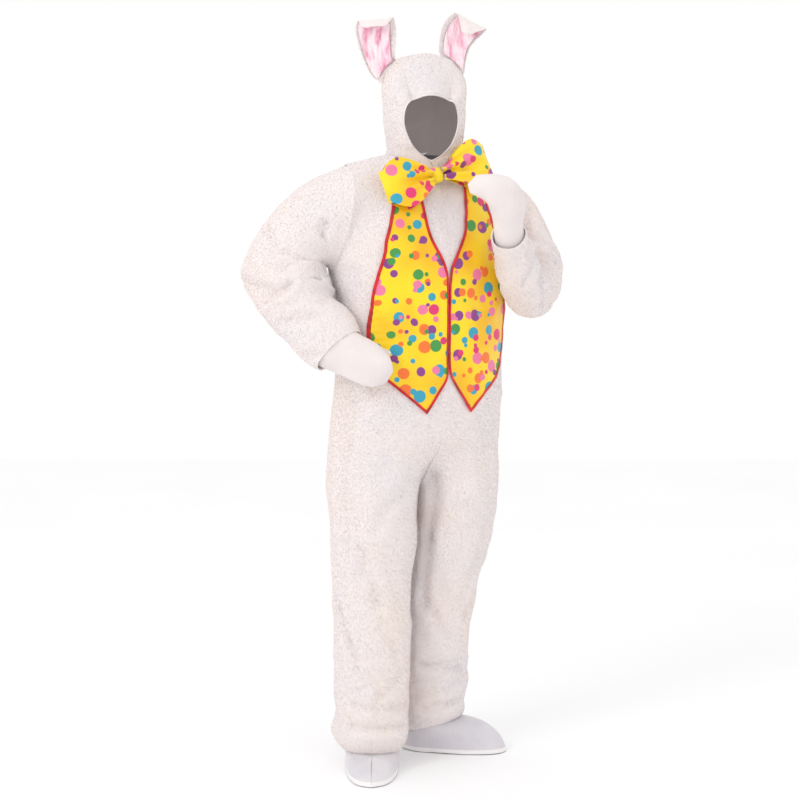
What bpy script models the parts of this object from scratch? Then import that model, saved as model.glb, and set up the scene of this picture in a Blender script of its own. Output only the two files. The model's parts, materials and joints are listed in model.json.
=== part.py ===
"""A rabbit dressing-up costume, worn and hollow, with nobody in it.

Metres, +Z up. The picture's side is -Y, and the wearer's right is -X. The origin is at the base of the
neck, where the shoulders carry the suit. Every piece of cloth is a grid of points on its outer face,
with a wall of the cloth's thickness behind it, and pieces end 0.3 mm apart at their seams.
"""

import math

import bpy
import numpy as np

for old in list(bpy.data.objects):
    bpy.data.objects.remove(old, do_unlink=True)

# Cloth thicknesses and the gap that sewn pieces keep
PLUSH = 0.0025
KNIT = 0.0015
SATIN = 0.0013
SEAM_GAP = 0.0003
LONGEST_MITRE = 2.6
TIP_REACH = 0.35
FOLD_STEPS = 16
SPLIT_WAY = np.array([0.13, 0.29, 0.95])

# The wearer stands turned, so the suit's front faces a little to the picture's right
BODY_TURN = math.radians(26)
HEAD_TURN = math.radians(12)
UP = np.array([0.0, 0.0, 1.0])
RIGHT, LEFT = -1, 1
SIDES = (("right", RIGHT), ("left", LEFT))
FRONT, BACK = 1, -1


def across_of(turn):
    """The way to the wearer's left, for something turned by this angle."""
    return np.array([math.cos(turn), math.sin(turn), 0.0])


def forward_of(turn):
    """The way it faces."""
    return np.array([math.sin(turn), -math.cos(turn), 0.0])


ACROSS = across_of(BODY_TURN)
FORWARD = forward_of(BODY_TURN)

# Columns of every body panel, and how many of them the shoulder seam takes
COLUMNS = 10
SHOULDER_COLUMNS = 4
CHEST_ROWS = 8
TORSO_ROWS = 10
LEG_ROWS = 15

# Torso sections: height, centre x, centre y, reach to the right, to the left, to the front, to the back
CROTCH = -0.800
TORSO = (
    (-0.260, -0.012, 0.000, 0.240, 0.222, 0.152, 0.150),
    (-0.340, -0.013, 0.000, 0.224, 0.216, 0.154, 0.150),
    (-0.450, -0.015, 0.000, 0.213, 0.213, 0.154, 0.152),
    (-0.590, -0.019, 0.000, 0.217, 0.217, 0.161, 0.160),
    (-0.690, -0.029, 0.003, 0.220, 0.220, 0.160, 0.165),
    (CROTCH, -0.034, 0.005, 0.224, 0.224, 0.150, 0.155),
)
TORSO_SQUARENESS = 2.3
RISE_TOP = -0.620
RISE_CURVE = 2.6
THIGH_DEPTH = 0.145

# Leg sections below the crotch: height, centre x, centre y, half width, half depth, turn, rise in front
LEGS = {
    RIGHT: (
        (-0.870, -0.133, -0.047, 0.106, 0.130, 24, 0.000),
        (-0.940, -0.130, -0.048, 0.110, 0.119, 20, 0.000),
        (-1.040, -0.139, -0.047, 0.098, 0.106, 12, 0.000),
        (-1.145, -0.133, -0.046, 0.100, 0.102, 6, 0.000),
        (-1.250, -0.136, -0.046, 0.098, 0.100, 0, 0.000),
        (-1.345, -0.134, -0.045, 0.093, 0.097, -2, 0.000),
        (-1.385, -0.136, -0.045, 0.090, 0.094, -2, 0.003),
        (-1.420, -0.139, -0.047, 0.098, 0.101, 0, 0.006),
        (-1.450, -0.137, -0.048, 0.091, 0.098, 0, 0.009),
        (-1.474, -0.134, -0.050, 0.073, 0.084, 0, 0.012),
    ),
    LEFT: (
        (-0.870, 0.069, 0.056, 0.105, 0.130, 27, 0.000),
        (-0.940, 0.066, 0.059, 0.102, 0.118, 28, 0.000),
        (-1.020, 0.053, 0.066, 0.098, 0.108, 30, 0.000),
        (-1.093, 0.038, 0.074, 0.095, 0.103, 33, 0.000),
        (-1.160, 0.027, 0.082, 0.093, 0.099, 37, 0.000),
        (-1.240, 0.021, 0.090, 0.092, 0.096, 42, 0.000),
        (-1.335, 0.025, 0.100, 0.092, 0.095, 50, 0.004),
        (-1.395, 0.013, 0.106, 0.085, 0.089, 58, 0.010),
        (-1.425, 0.018, 0.108, 0.090, 0.093, 66, 0.018),
        (-1.450, 0.016, 0.110, 0.073, 0.084, 72, 0.024),
    ),
}

# Neckline and shoulders
NECK_CENTRE = np.array([-0.010, 0.004, 0.0])
NECK_WIDTH = 0.090
NECK_DEPTH = 0.086
NECK_SIDE_HEIGHT = 0.025
NECK_FRONT_HEIGHT = -0.036
NECK_BACK_HEIGHT = 0.034
SHOULDER_CENTRE = np.array([-0.012, 0.000, 0.0])
SHOULDER_REACH = 0.205
SHOULDER_HEIGHT = {RIGHT: -0.002, LEFT: -0.018}
SHOULDER_ROLL = 0.37
ARMHOLE_ROLL = 0.27
ARMHOLE_SHARE = 0.3
ARMHOLE_FALL = 0.13
CHEST_FALL = 0.22
CHEST_ROLL = 0.14
SHOULDER_DIP = -0.05
CHEST_DIP = -0.12

# Sleeve sections from shoulder to cuff: the section's outer edge x, y, z, its inner edge x, y, z and how far
# it reaches to each side of the line between them
SLEEVES = {
    RIGHT: (
        (-0.278, -0.085, -0.038, -0.268, -0.085, -0.250, 0.092),
        (-0.352, -0.078, -0.090, -0.266, -0.090, -0.266, 0.096),
        (-0.414, -0.070, -0.168, -0.259, -0.104, -0.284, 0.098),
        (-0.456, -0.066, -0.250, -0.240, -0.130, -0.300, 0.096),
        (-0.432, -0.078, -0.328, -0.234, -0.138, -0.312, 0.090),
        (-0.385, -0.106, -0.392, -0.228, -0.146, -0.326, 0.080),
        (-0.330, -0.146, -0.445, -0.212, -0.152, -0.335, 0.070),
        (-0.288, -0.174, -0.485, -0.175, -0.180, -0.365, 0.058),
        (-0.262, -0.190, -0.500, -0.158, -0.195, -0.402, 0.050),
    ),
    LEFT: (
        (0.238, 0.095, -0.052, 0.212, 0.085, -0.240, 0.088),
        (0.278, 0.090, -0.096, 0.224, 0.055, -0.256, 0.090),
        (0.308, 0.080, -0.165, 0.234, 0.024, -0.262, 0.088),
        (0.320, 0.066, -0.250, 0.242, -0.006, -0.262, 0.082),
        (0.311, 0.045, -0.345, 0.250, -0.030, -0.256, 0.070),
        (0.270, -0.022, -0.386, 0.243, -0.058, -0.245, 0.062),
        (0.240, -0.092, -0.345, 0.222, -0.090, -0.215, 0.060),
        (0.222, -0.148, -0.268, 0.204, -0.124, -0.170, 0.052),
        (0.205, -0.186, -0.208, 0.192, -0.154, -0.140, 0.043),
    ),
}
# Large folds of the legs: height and place round the leg at the start, the same at the end, depth, half width.
# The place is 0 at the outer side seam, 90 in front and 180 at the inner leg, and below 0 behind
LEG_FOLDS = {
    RIGHT: (
        (-0.600, 22, -0.860, 26, 0.008, 0.034),
        (-0.900, 40, -1.120, 92, 0.010, 0.030),
        (-1.150, 15, -1.290, 78, 0.009, 0.028),
        (-0.930, -105, -0.960, -45, 0.009, 0.030),
        (-1.060, -40, -1.130, -130, 0.010, 0.030),
        (-1.260, -130, -1.320, -40, 0.008, 0.028),
    ),
    LEFT: (
        (-1.290, 50, -1.300, 140, 0.008, 0.026),
        (-0.960, 60, -1.090, 20, 0.008, 0.032),
        (-0.940, -105, -0.970, -45, 0.009, 0.030),
        (-1.070, -50, -1.130, -130, 0.010, 0.030),
        (-1.240, -120, -1.310, -50, 0.008, 0.028),
    ),
}
LEG_RADIUS = 0.105

# Large folds of the sleeves: section number and place round the sleeve at the start, the same at the end,
# depth, half width. The place is 0 at the outer edge, 90 on the side that shows and 180 at the inner edge
SLEEVE_FOLDS = {
    RIGHT: (
        (2.0, 150, 3.2, 100, 0.009, 0.028),
        (3.4, 25, 3.9, 115, 0.009, 0.026),
        (4.9, 35, 5.6, 120, 0.009, 0.026),
        (6.4, 60, 6.9, 140, 0.007, 0.022),
        (4.2, 215, 3.6, 300, 0.010, 0.030),
        (5.4, 220, 5.2, 320, 0.009, 0.026),
    ),
    LEFT: (
        (2.0, 150, 3.0, 70, 0.009, 0.028),
        (5.6, 95, 4.6, 60, 0.008, 0.024),
        (6.6, 80, 5.6, 50, 0.008, 0.022),
        (4.0, 230, 3.4, 310, 0.010, 0.030),
        (5.6, 230, 5.3, 330, 0.009, 0.026),
    ),
}
SLEEVE_RADIUS = 0.085
SECTION_STEP = 0.060

# How far each of the first sections still faces the way the armhole does
ARMHOLE_FACING = (0.9, 0.6, 0.3, 0.1, 0.0, 0.0, 0.0, 0.0, 0.0)
SLEEVE_RINGS = 17


def read(table, keys):
    """Every column of a table at the given keys, which are in its first column, on a smooth curve."""
    rows = np.array(table, float)
    rows = rows[np.argsort(rows[:, 0])]
    own = rows[:, 0]
    slopes = np.gradient(rows, own, axis=0)
    keys = np.asarray(keys, float)
    at = np.clip(np.searchsorted(own, keys) - 1, 0, len(own) - 2)
    span = (own[at + 1] - own[at])[:, None]
    t = (keys - own[at])[:, None] / span
    start, end = rows[at], rows[at + 1]
    leave, arrive = slopes[at] * span, slopes[at + 1] * span
    return hermite(start, leave, end, arrive, t)


def hermite(start, leave, end, arrive, t):
    """A curve from start to end that leaves and arrives in the given ways."""
    return (
        (2 * t**3 - 3 * t**2 + 1) * start
        + (t**3 - 2 * t**2 + t) * leave
        + (3 * t**2 - 2 * t**3) * end
        + (t**3 - t**2) * arrive
    )


def sunk(points, middle, along, place, folds):
    """Points drawn in toward the middle line along each fold. Along and place are in metres here."""
    share = np.linspace(0, 1, FOLD_STEPS)[:, None, None]
    drawn = np.zeros(points.shape[:2])
    for start, start_place, end, end_place, depth, width in folds:
        ahead = along - (start + (end - start) * share)
        round_it = place - (start_place + (end_place - start_place) * share)
        nearest = np.min(ahead**2 + round_it**2, axis=0)
        drawn += depth * np.exp(-nearest / width**2)
    return points + unit(middle - points) * drawn[..., None]


def numbered(table):
    """A table with its rows' numbers as the first column."""
    return [(number, *row) for number, row in enumerate(table)]


def unit(vectors):
    return vectors / np.maximum(np.linalg.norm(vectors, axis=-1, keepdims=True), 1e-12)


def normals_of(points, centre, closed=False):
    """The way out of a grid's face at each point, away from the centre."""
    if closed:
        along = np.roll(points, -1, axis=1) - np.roll(points, 1, axis=1)
    else:
        along = np.gradient(points, axis=1)
    normals = unit(np.cross(along, np.gradient(points, axis=0)))
    outward = np.sum(normals * (points - centre))
    return normals if outward > 0 else -normals


class Cloth:
    """One cut piece: the points of its outer face in rows and columns, and the wall behind it."""

    def __init__(self, name, points, thickness, centre, finish, closed=False, tip=False):
        self.name = name
        self.points = points
        self.thickness = thickness
        self.finish = finish
        self.closed = closed
        self.tip = tip
        self.normals = normals_of(points, centre, closed)
        self.inward = -self.normals
        self.trim = self.edge_trim()

    def edge_trim(self):
        """A step of half the seam gap, into the piece, at each point of its edges."""
        trim = np.zeros_like(self.points)
        trim[0] += unit(self.points[1] - self.points[0])
        trim[-1] += unit(self.points[-2] - self.points[-1])
        if not self.closed:
            trim[:, 0] += unit(self.points[:, 1] - self.points[:, 0])
            trim[:, -1] += unit(self.points[:, -2] - self.points[:, -1])
        return trim * SEAM_GAP / 2


def share_seams(pieces):
    """Where pieces meet, their walls lean the same way, so that each seam closes."""
    meeting = {}
    for piece in pieces:
        rows, columns = piece.points.shape[:2]
        for row in range(rows):
            for column in range(columns):
                key = tuple(np.round(piece.points[row, column] * 20000).astype(int))
                meeting.setdefault(key, []).append((piece, row, column))
    for members in meeting.values():
        if len(members) < 2:
            continue
        normals = np.array([piece.normals[row, column] for piece, row, column in members])
        lean = -np.linalg.pinv(normals, rcond=0.25) @ np.ones(len(members))
        lean *= min(1.0, LONGEST_MITRE / max(np.linalg.norm(lean), SEAM_GAP))
        for piece, row, column in members:
            piece.inward[row, column] = lean


def split(corners, a, b, c, d):
    """A four-sided face's two triangles, along its shorter diagonal."""
    if np.linalg.norm(corners[a] - corners[c]) <= np.linalg.norm(corners[b] - corners[d]):
        return (a, b, c), (a, c, d)
    return (a, b, d), (b, c, d)


def build(piece):
    """The closed wall of a piece. Both faces are split along the same lines, or they would cross."""
    outer = piece.points + piece.trim
    inner = outer + piece.inward * piece.thickness
    rows, columns = outer.shape[:2]
    count = rows * columns
    corners = np.concatenate([outer.reshape(-1, 3), inner.reshape(-1, 3)])

    def number(row, column):
        return row * columns + column % columns

    steps = columns if piece.closed else columns - 1
    faces = []
    for row in range(rows - 1):
        for column in range(steps):
            a, b = number(row, column), number(row, column + 1)
            c, d = number(row + 1, column + 1), number(row + 1, column)
            for triangle in split(corners, a, b, c, d):
                faces.append(triangle)
                faces.append(tuple(corner + count for corner in reversed(triangle)))

    def add_rim(a, b, same_way):
        """Two triangles of the wall's edge. Both pieces at a seam split it along the same line."""
        if corners[a] @ SPLIT_WAY > corners[b] @ SPLIT_WAY:
            triangles = [(a, a + count, b), (b, a + count, b + count)]
        else:
            triangles = [(a, a + count, b + count), (a, b + count, b)]
        faces.extend(triangles if same_way else [triangle[::-1] for triangle in triangles])

    last = rows - 1
    if piece.tip:
        ahead = outer[-1].mean(axis=0) - outer[-2].mean(axis=0)
        tip = outer[-1].mean(axis=0) + ahead * TIP_REACH
        corners = np.concatenate([corners, [tip, tip - unit(ahead) * piece.thickness]])
    for column in range(steps):
        add_rim(number(0, column), number(0, column + 1), True)
        if piece.tip:
            a, b = number(last, column), number(last, column + 1)
            faces.append((a, b, 2 * count))
            faces.append((b + count, a + count, 2 * count + 1))
        else:
            add_rim(number(last, column), number(last, column + 1), False)
    if not piece.closed:
        for row in range(last):
            add_rim(number(row, 0), number(row + 1, 0), False)
            add_rim(number(row, steps), number(row + 1, steps), True)
    return solid(piece.name, corners, faces, piece.finish)


def volume_of(corners, faces):
    total = 0.0
    for face in faces:
        first = corners[face[0]]
        for second, third in zip(face[1:-1], face[2:]):
            total += np.dot(first, np.cross(corners[second], corners[third]))
    return total


def solid(name, corners, faces, finish):
    """A mesh object whose faces point out."""
    if volume_of(corners, faces) < 0:
        faces = [tuple(reversed(face)) for face in faces]
    mesh = bpy.data.meshes.new(name)
    mesh.from_pydata([tuple(corner) for corner in corners], [], faces)
    mesh.update()
    mesh.shade_smooth()
    mesh.set_sharp_from_angle(angle=math.radians(50))
    mesh.materials.append(finish)
    made = bpy.data.objects.new(name, mesh)
    bpy.context.scene.collection.objects.link(made)
    return made


def finish_of(name, colour, roughness):
    made = bpy.data.materials.new(name)
    made.use_nodes = True
    shader = made.node_tree.nodes["Principled BSDF"]
    shader.inputs["Base Color"].default_value = (*colour, 1.0)
    shader.inputs["Roughness"].default_value = roughness
    shader.inputs["Metallic"].default_value = 0.0
    return made


WHITE_PLUSH = finish_of("white_plush", (0.86, 0.83, 0.82), 0.95)
WHITE_KNIT = finish_of("white_knit", (0.84, 0.82, 0.81), 0.7)
PINK_SATIN = finish_of("pink_satin", (0.85, 0.42, 0.52), 0.35)
DOT_SATIN = finish_of("dot_satin", (0.93, 0.68, 0.06), 0.4)
RED_BINDING = finish_of("red_binding", (0.62, 0.02, 0.03), 0.45)


def torso_arc(side, face, section, share):
    """A quarter of a torso section, from the side seam to the centre line."""
    _, x, y, right, left, front, back = section
    reach = right if side == RIGHT else left
    depth = front if face == FRONT else back
    power = 2 / TORSO_SQUARENESS
    angle = share * math.pi / 2
    return (
        np.array([x, y, 0.0])
        + ACROSS * (side * reach * np.cos(angle) ** power)[:, None]
        + FORWARD * (face * depth * np.sin(angle) ** power)[:, None]
    )


def leg_arc(side, face, section, share):
    """Half of a leg section, from the side seam round the front or back to the inner leg."""
    height, x, y, width, depth, turn, rise = section
    angle = share * math.pi
    sideways = across_of(math.radians(turn)) * (side * width * np.cos(angle))[:, None]
    ahead = forward_of(math.radians(turn)) * (face * depth * np.sin(angle))[:, None]
    lift = UP * (height + face * rise * np.sin(angle))[:, None]
    return np.array([x, y, 0.0]) + sideways + ahead + lift


def thigh_section(side, section):
    """The leg's first section, half as wide as the torso section that it leaves."""
    _, x, y, right, left, _, _ = section
    half = (right if side == RIGHT else left) / 2
    centre = np.array([x, y, 0.0]) + ACROSS * side * half
    return (CROTCH, centre[0], centre[1], half, THIGH_DEPTH, math.degrees(BODY_TURN), 0.0)


def top_edge(side, face):
    """The shoulder seam from its tip to the neck, then the neckline to the centre line."""
    tip = SHOULDER_CENTRE + ACROSS * side * SHOULDER_REACH + UP * SHOULDER_HEIGHT[side]
    centre_height = NECK_FRONT_HEIGHT if face == FRONT else NECK_BACK_HEIGHT
    angle = np.linspace(0, math.pi / 2, COLUMNS - SHOULDER_COLUMNS + 1)
    neckline = (
        NECK_CENTRE
        + ACROSS * (side * NECK_WIDTH * np.cos(angle))[:, None]
        + FORWARD * (face * NECK_DEPTH * np.sin(angle))[:, None]
        + UP * (NECK_SIDE_HEIGHT + (centre_height - NECK_SIDE_HEIGHT) * np.sin(angle) ** 2)[:, None]
    )
    share = np.linspace(0, 1, SHOULDER_COLUMNS + 1)[:-1, None]
    return np.concatenate([tip * (1 - share) + neckline[0] * share, neckline])


def body_panel(side, face):
    """One of the suit's four long panels, from the shoulder to the ankle."""
    share = np.linspace(0, 1, COLUMNS + 1)
    top = top_edge(side, face)
    chest = torso_arc(side, face, read(TORSO, [TORSO[0][0]])[0], share) + UP * TORSO[0][0]
    past_shoulder = np.clip((share - SHOULDER_COLUMNS / COLUMNS) / (1 - SHOULDER_COLUMNS / COLUMNS), 0, 1)
    near_arm = np.clip(1 - share / ARMHOLE_SHARE, 0, 1) ** 2
    roll = SHOULDER_ROLL * (1 - past_shoulder) + CHEST_ROLL * past_shoulder
    dip = SHOULDER_DIP * (1 - past_shoulder) + CHEST_DIP * past_shoulder
    leave = FORWARD * (face * roll)[:, None] + UP * dip[:, None]
    arrive = (
        FORWARD * (-face * ARMHOLE_ROLL * near_arm)[:, None]
        - UP * (CHEST_FALL * (1 - near_arm) + ARMHOLE_FALL * near_arm)[:, None]
    )
    rows = []
    for step in range(CHEST_ROWS):
        rows.append(hermite(top, leave, chest, arrive, step / CHEST_ROWS))
    first_leg = thigh_section(side, TORSO[-1])
    for height in np.linspace(TORSO[0][0], CROTCH, TORSO_ROWS + 1):
        section = read(TORSO, [height])[0]
        fall = np.clip((RISE_TOP - height) / (RISE_TOP - CROTCH), 0, 1) ** RISE_CURVE
        own_thigh = list(thigh_section(side, section))
        own_thigh[0] = height
        torso = torso_arc(side, face, section, share) + UP * height
        rows.append(torso * (1 - fall) + leg_arc(side, face, own_thigh, share) * fall)
    table = numbered((first_leg, *LEGS[side]))
    for key in np.linspace(0, len(table) - 1, LEG_ROWS + 1)[1:]:
        rows.append(leg_arc(side, face, read(table, [key])[0][1:], share))
    return np.array(rows)


def folded_panels(side):
    """A side's front and back panels with the folds of its leg."""
    plain = {face: body_panel(side, face) for face in (FRONT, BACK)}
    middle = (plain[FRONT] + plain[BACK]).mean(axis=1, keepdims=True) / 2
    metres_a_degree = LEG_RADIUS * math.pi / 180
    folds = [
        (start, start_place * metres_a_degree, end, end_place * metres_a_degree, depth, width)
        for start, start_place, end, end_place, depth, width in LEG_FOLDS[side]
    ]
    height = middle[:, :, 2]
    folded = {}
    for face, points in plain.items():
        place = face * np.linspace(0, 180, COLUMNS + 1)[None, :] * metres_a_degree
        folded[side, face] = sunk(points, middle, height, place, folds)
    return folded


CROTCH_ROW = CHEST_ROWS + TORSO_ROWS
panel_points = {}
for _, side in SIDES:
    panel_points.update(folded_panels(side))
panels = {}
for side_name, side in SIDES:
    middle = (panel_points[side, FRONT] + panel_points[side, BACK]).mean(axis=1, keepdims=True) / 2
    for face_name, face in (("front", FRONT), ("back", BACK)):
        panel = Cloth(f"suit_{face_name}_{side_name}", panel_points[side, face], PLUSH, middle, WHITE_PLUSH)
        centre_edge = slice(0, CROTCH_ROW + 1)
        panel.trim[centre_edge, -1] = ACROSS * side * SEAM_GAP / 2
        panel.trim[CROTCH_ROW, -1] += FORWARD * face * SEAM_GAP / 2
        panels[side, face] = panel


def armhole(side):
    """The armhole's points: shoulder tip, down the front to the underarm, up the back."""
    front = panels[side, FRONT].points[: CHEST_ROWS + 1, 0]
    back = panels[side, BACK].points[1:CHEST_ROWS, 0]
    return np.concatenate([front, back[::-1]])


def sleeve(side_name, side):
    """A bent sleeve: the armhole first, then a ring for each row of its table."""
    table = np.array(SLEEVES[side])
    outer, inner, reach = table[:, 0:3], table[:, 3:6], table[:, 6:7]
    middle, half = (outer + inner) / 2, (outer - inner) / 2
    facing = np.array(ARMHOLE_FACING)[:, None]
    sideways = unit(np.cross(half, np.gradient(middle, axis=0))) * -side
    sideways = unit(sideways * (1 - facing) + FORWARD * facing) * reach
    first = armhole(side)
    count = len(first)
    angle = np.arange(count)[:, None] * 2 * math.pi / count
    rings = [first]
    for centre, out, aside in zip(middle, half, sideways):
        rings.append(centre + out * np.cos(angle) + aside * np.sin(angle))
    flat = [(number, *ring.reshape(-1)) for number, ring in enumerate(rings)]
    keys = np.linspace(0, len(rings) - 1, SLEEVE_RINGS)
    points = read(flat, keys)[:, 1:].reshape(SLEEVE_RINGS, count, 3)
    centre = points.mean(axis=1, keepdims=True)
    metres_a_degree = SLEEVE_RADIUS * math.pi / 180
    folds = [
        (start * SECTION_STEP, start_place * metres_a_degree, end * SECTION_STEP, end_place * metres_a_degree,
         depth, width)
        for start, start_place, end, end_place, depth, width in SLEEVE_FOLDS[side]
    ]
    place = np.degrees(angle).T * metres_a_degree
    folded = sunk(points, centre, keys[:, None] * SECTION_STEP, place, folds)
    points[1:] = folded[1:]
    return Cloth(f"sleeve_{side_name}", points, PLUSH, points.mean(axis=1, keepdims=True), WHITE_PLUSH, True)


sleeves = {side: sleeve(side_name, side) for side_name, side in SIDES}


HEAD_TURN_ACROSS = across_of(HEAD_TURN)
HEAD_TURN_FORWARD = forward_of(HEAD_TURN)
HEAD_CENTRE = np.array([-0.004, 0.005, 0.0])
# Hood levels from the neckline up: heights in front, at the side and at the back, half width, reach to the
# front, reach to the back, and where the face opening's edge is, in degrees from the front
HOOD_LEVELS = (
    (0.000, 0.040, 0.050, 0.090, 0.090, 0.088, 0),
    (0.030, 0.070, 0.080, 0.094, 0.092, 0.095, 22),
    (0.090, 0.110, 0.120, 0.100, 0.095, 0.105, 41),
    (0.134, 0.160, 0.165, 0.101, 0.096, 0.108, 38),
    (0.152, 0.215, 0.200, 0.100, 0.096, 0.105, 30),
    (0.158, 0.262, 0.215, 0.067, 0.092, 0.100, 40),
)
HOOD_ROWS_A_LEVEL = 2
HOOD_COLUMNS = 10
HOOD_SQUARENESS = 2.6
BACK_SEAM_ANGLE = 153.6
BROW_RISE = 1.25
CHIN_ROW = 2
GUSSET_COLUMNS = 4
GUSSET_BULGE = (0.024, 0.014, 0.012)
HOOD_MIDDLE = np.array([0.0, -0.005, 0.120])
BINDING_THICKNESS = 0.003
FACE_BINDING_WIDTH = 0.006


def hood_level(side, level):
    """One level of a hood side, from the face opening's edge round to the back seam."""
    front_z, side_z, back_z, width, front, back, edge = level
    angle = np.radians(np.linspace(edge, BACK_SEAM_ANGLE, HOOD_COLUMNS + 1))
    power = 2 / HOOD_SQUARENESS
    ahead = np.sign(np.cos(angle)) * np.abs(np.cos(angle)) ** power
    ahead *= np.where(ahead > 0, front, back)
    aside = side * width * np.sin(angle) ** power
    before = np.clip((angle - angle[0]) / (math.pi / 2 - angle[0]), 0, 1)
    after = np.clip((angle - math.pi / 2) / (math.radians(BACK_SEAM_ANGLE) - math.pi / 2), 0, 1)
    height = front_z + (side_z - front_z) * np.sin(before * math.pi / 2) ** BROW_RISE
    height += (back_z - side_z) * np.sin(after * math.pi / 2) ** 2
    across = HEAD_TURN_ACROSS * aside[:, None]
    return HEAD_CENTRE + across + HEAD_TURN_FORWARD * ahead[:, None] + UP * height[:, None]


def hood_side_points(side):
    """A hood side: its first row is the suit's neckline, its last the crown seam."""
    front = panels[side, FRONT].points[0, SHOULDER_COLUMNS:][::-1]
    back = panels[side, BACK].points[0, SHOULDER_COLUMNS + 1 : COLUMNS - 1]
    rings = [np.concatenate([front, back])] + [hood_level(side, level) for level in HOOD_LEVELS]
    flat = [(number, *ring.reshape(-1)) for number, ring in enumerate(rings)]
    keys = np.linspace(0, len(HOOD_LEVELS), len(HOOD_LEVELS) * HOOD_ROWS_A_LEVEL + 1)
    return read(flat, keys)[:, 1:].reshape(len(keys), HOOD_COLUMNS + 1, 3)


hood_points = {side: hood_side_points(side) for _, side in SIDES}
chin_seam = (hood_points[RIGHT][: CHIN_ROW + 1, 0] + hood_points[LEFT][: CHIN_ROW + 1, 0]) / 2
for points in hood_points.values():
    points[: CHIN_ROW + 1, 0] = chin_seam


def gusset_points():
    """The strip over the head: from the forehead along the crown seams and down the back seams."""
    edges = [
        np.concatenate([hood_points[side][-1], hood_points[side][:-1, -1][::-1]]) for side in (RIGHT, LEFT)
    ]
    count = len(edges[0])
    bulge = np.interp(np.arange(count), (0, HOOD_COLUMNS / 2, HOOD_COLUMNS + 2), GUSSET_BULGE)
    middle = (edges[0] + edges[1]) / 2
    away = unit(middle - HOOD_MIDDLE) * bulge[:, None]
    columns = []
    for share in np.linspace(0, 1, GUSSET_COLUMNS + 1):
        columns.append(edges[0] * (1 - share) + edges[1] * share + away * 4 * share * (1 - share))
    points = np.stack(columns, axis=1)
    backs = [panels[side, BACK].points[0, COLUMNS - 2 : COLUMNS + 1] for side in (RIGHT, LEFT)]
    points[-1] = np.concatenate([backs[0], backs[1][::-1][1:]])
    return points


gusset = gusset_points()


def face_binding_points():
    """A narrow ring that carries the hood's surface on into the face opening."""
    edge, into = [], []
    right, left = hood_points[RIGHT], hood_points[LEFT]
    edge.append(right[CHIN_ROW, 0])
    into.append(unit(right[CHIN_ROW, 0] - right[CHIN_ROW - 1, 0]))
    last = len(right) - 1
    for row in range(CHIN_ROW + 1, last + 1):
        edge.append(left[row, 0])
        into.append(unit(left[row, 0] - left[row, 1]))
    for column in range(GUSSET_COLUMNS - 1, 0, -1):
        edge.append(gusset[0, column])
        into.append(unit(gusset[0, column] - gusset[1, column]))
    for row in range(last, CHIN_ROW, -1):
        edge.append(right[row, 0])
        into.append(unit(right[row, 0] - right[row, 1]))
    edge, into = np.array(edge), np.array(into)
    eased = unit(np.roll(into, 1, axis=0) + into * 2 + np.roll(into, -1, axis=0))
    return np.array([edge, edge + eased * FACE_BINDING_WIDTH])


GUSSET_PIECE = 2
NAPE_TRIM = 3

hood = [
    Cloth(f"hood_side_{side_name}", hood_points[side], PLUSH, HOOD_MIDDLE, WHITE_PLUSH) for side_name, side in SIDES
]
hood.append(Cloth("hood_centre", gusset, PLUSH, HOOD_MIDDLE, WHITE_PLUSH))
face_binding = face_binding_points()
hood.append(Cloth("hood_face_binding", face_binding, BINDING_THICKNESS, HOOD_MIDDLE, WHITE_KNIT, True))


# Ears. Each base follows the hood over the head from one distance to another below the crown seam.
# Rows from the base up: outer end x, z, inner end x, z, how far the row is ahead of the base, cup depth
EAR_COLUMN = 5
EAR_COLUMNS = 5
EAR_SEAT = 0.0022
LINING_GAP = 0.0027
BEHIND_EAR = np.array([0.0, 0.05, 0.0])
EAR_BASES = {RIGHT: (0.075, 0.004), LEFT: (0.056, -0.024)}
EARS = {
    RIGHT: (
        (-0.132, 0.213, -0.077, 0.268, 0.002, 0.006),
        (-0.150, 0.245, -0.075, 0.283, 0.003, 0.011),
        (-0.163, 0.280, -0.074, 0.303, 0.003, 0.013),
        (-0.172, 0.312, -0.073, 0.326, 0.002, 0.012),
        (-0.176, 0.338, -0.074, 0.346, 0.002, 0.008),
        (-0.168, 0.355, -0.080, 0.362, 0.009, 0.003),
        (-0.164, 0.350, -0.085, 0.355, 0.022, -0.002),
        (-0.157, 0.334, -0.098, 0.338, 0.028, -0.004),
    ),
    LEFT: (
        (0.100, 0.247, 0.033, 0.292, 0.002, 0.006),
        (0.104, 0.280, 0.035, 0.318, 0.003, 0.011),
        (0.120, 0.305, 0.041, 0.345, 0.003, 0.013),
        (0.142, 0.325, 0.055, 0.367, 0.002, 0.010),
        (0.153, 0.338, 0.072, 0.380, 0.006, 0.005),
        (0.150, 0.337, 0.079, 0.374, 0.020, 0.000),
        (0.133, 0.329, 0.084, 0.352, 0.029, -0.004),
        (0.106, 0.319, 0.089, 0.327, 0.031, -0.004),
    ),
}
# How far the lining's outer edge, inner edge and base are moved in, as a share of one column or row
LINING_TRIM = (0.25, 0.70, 0.50)


def hood_section():
    """The hood's outline over the head, from the right side up and down the left side."""
    column = EAR_COLUMN
    right = hood_points[RIGHT][:, column]
    left = hood_points[LEFT][::-1, column]
    return np.concatenate([right, gusset[column, 1:-1], left])


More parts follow.
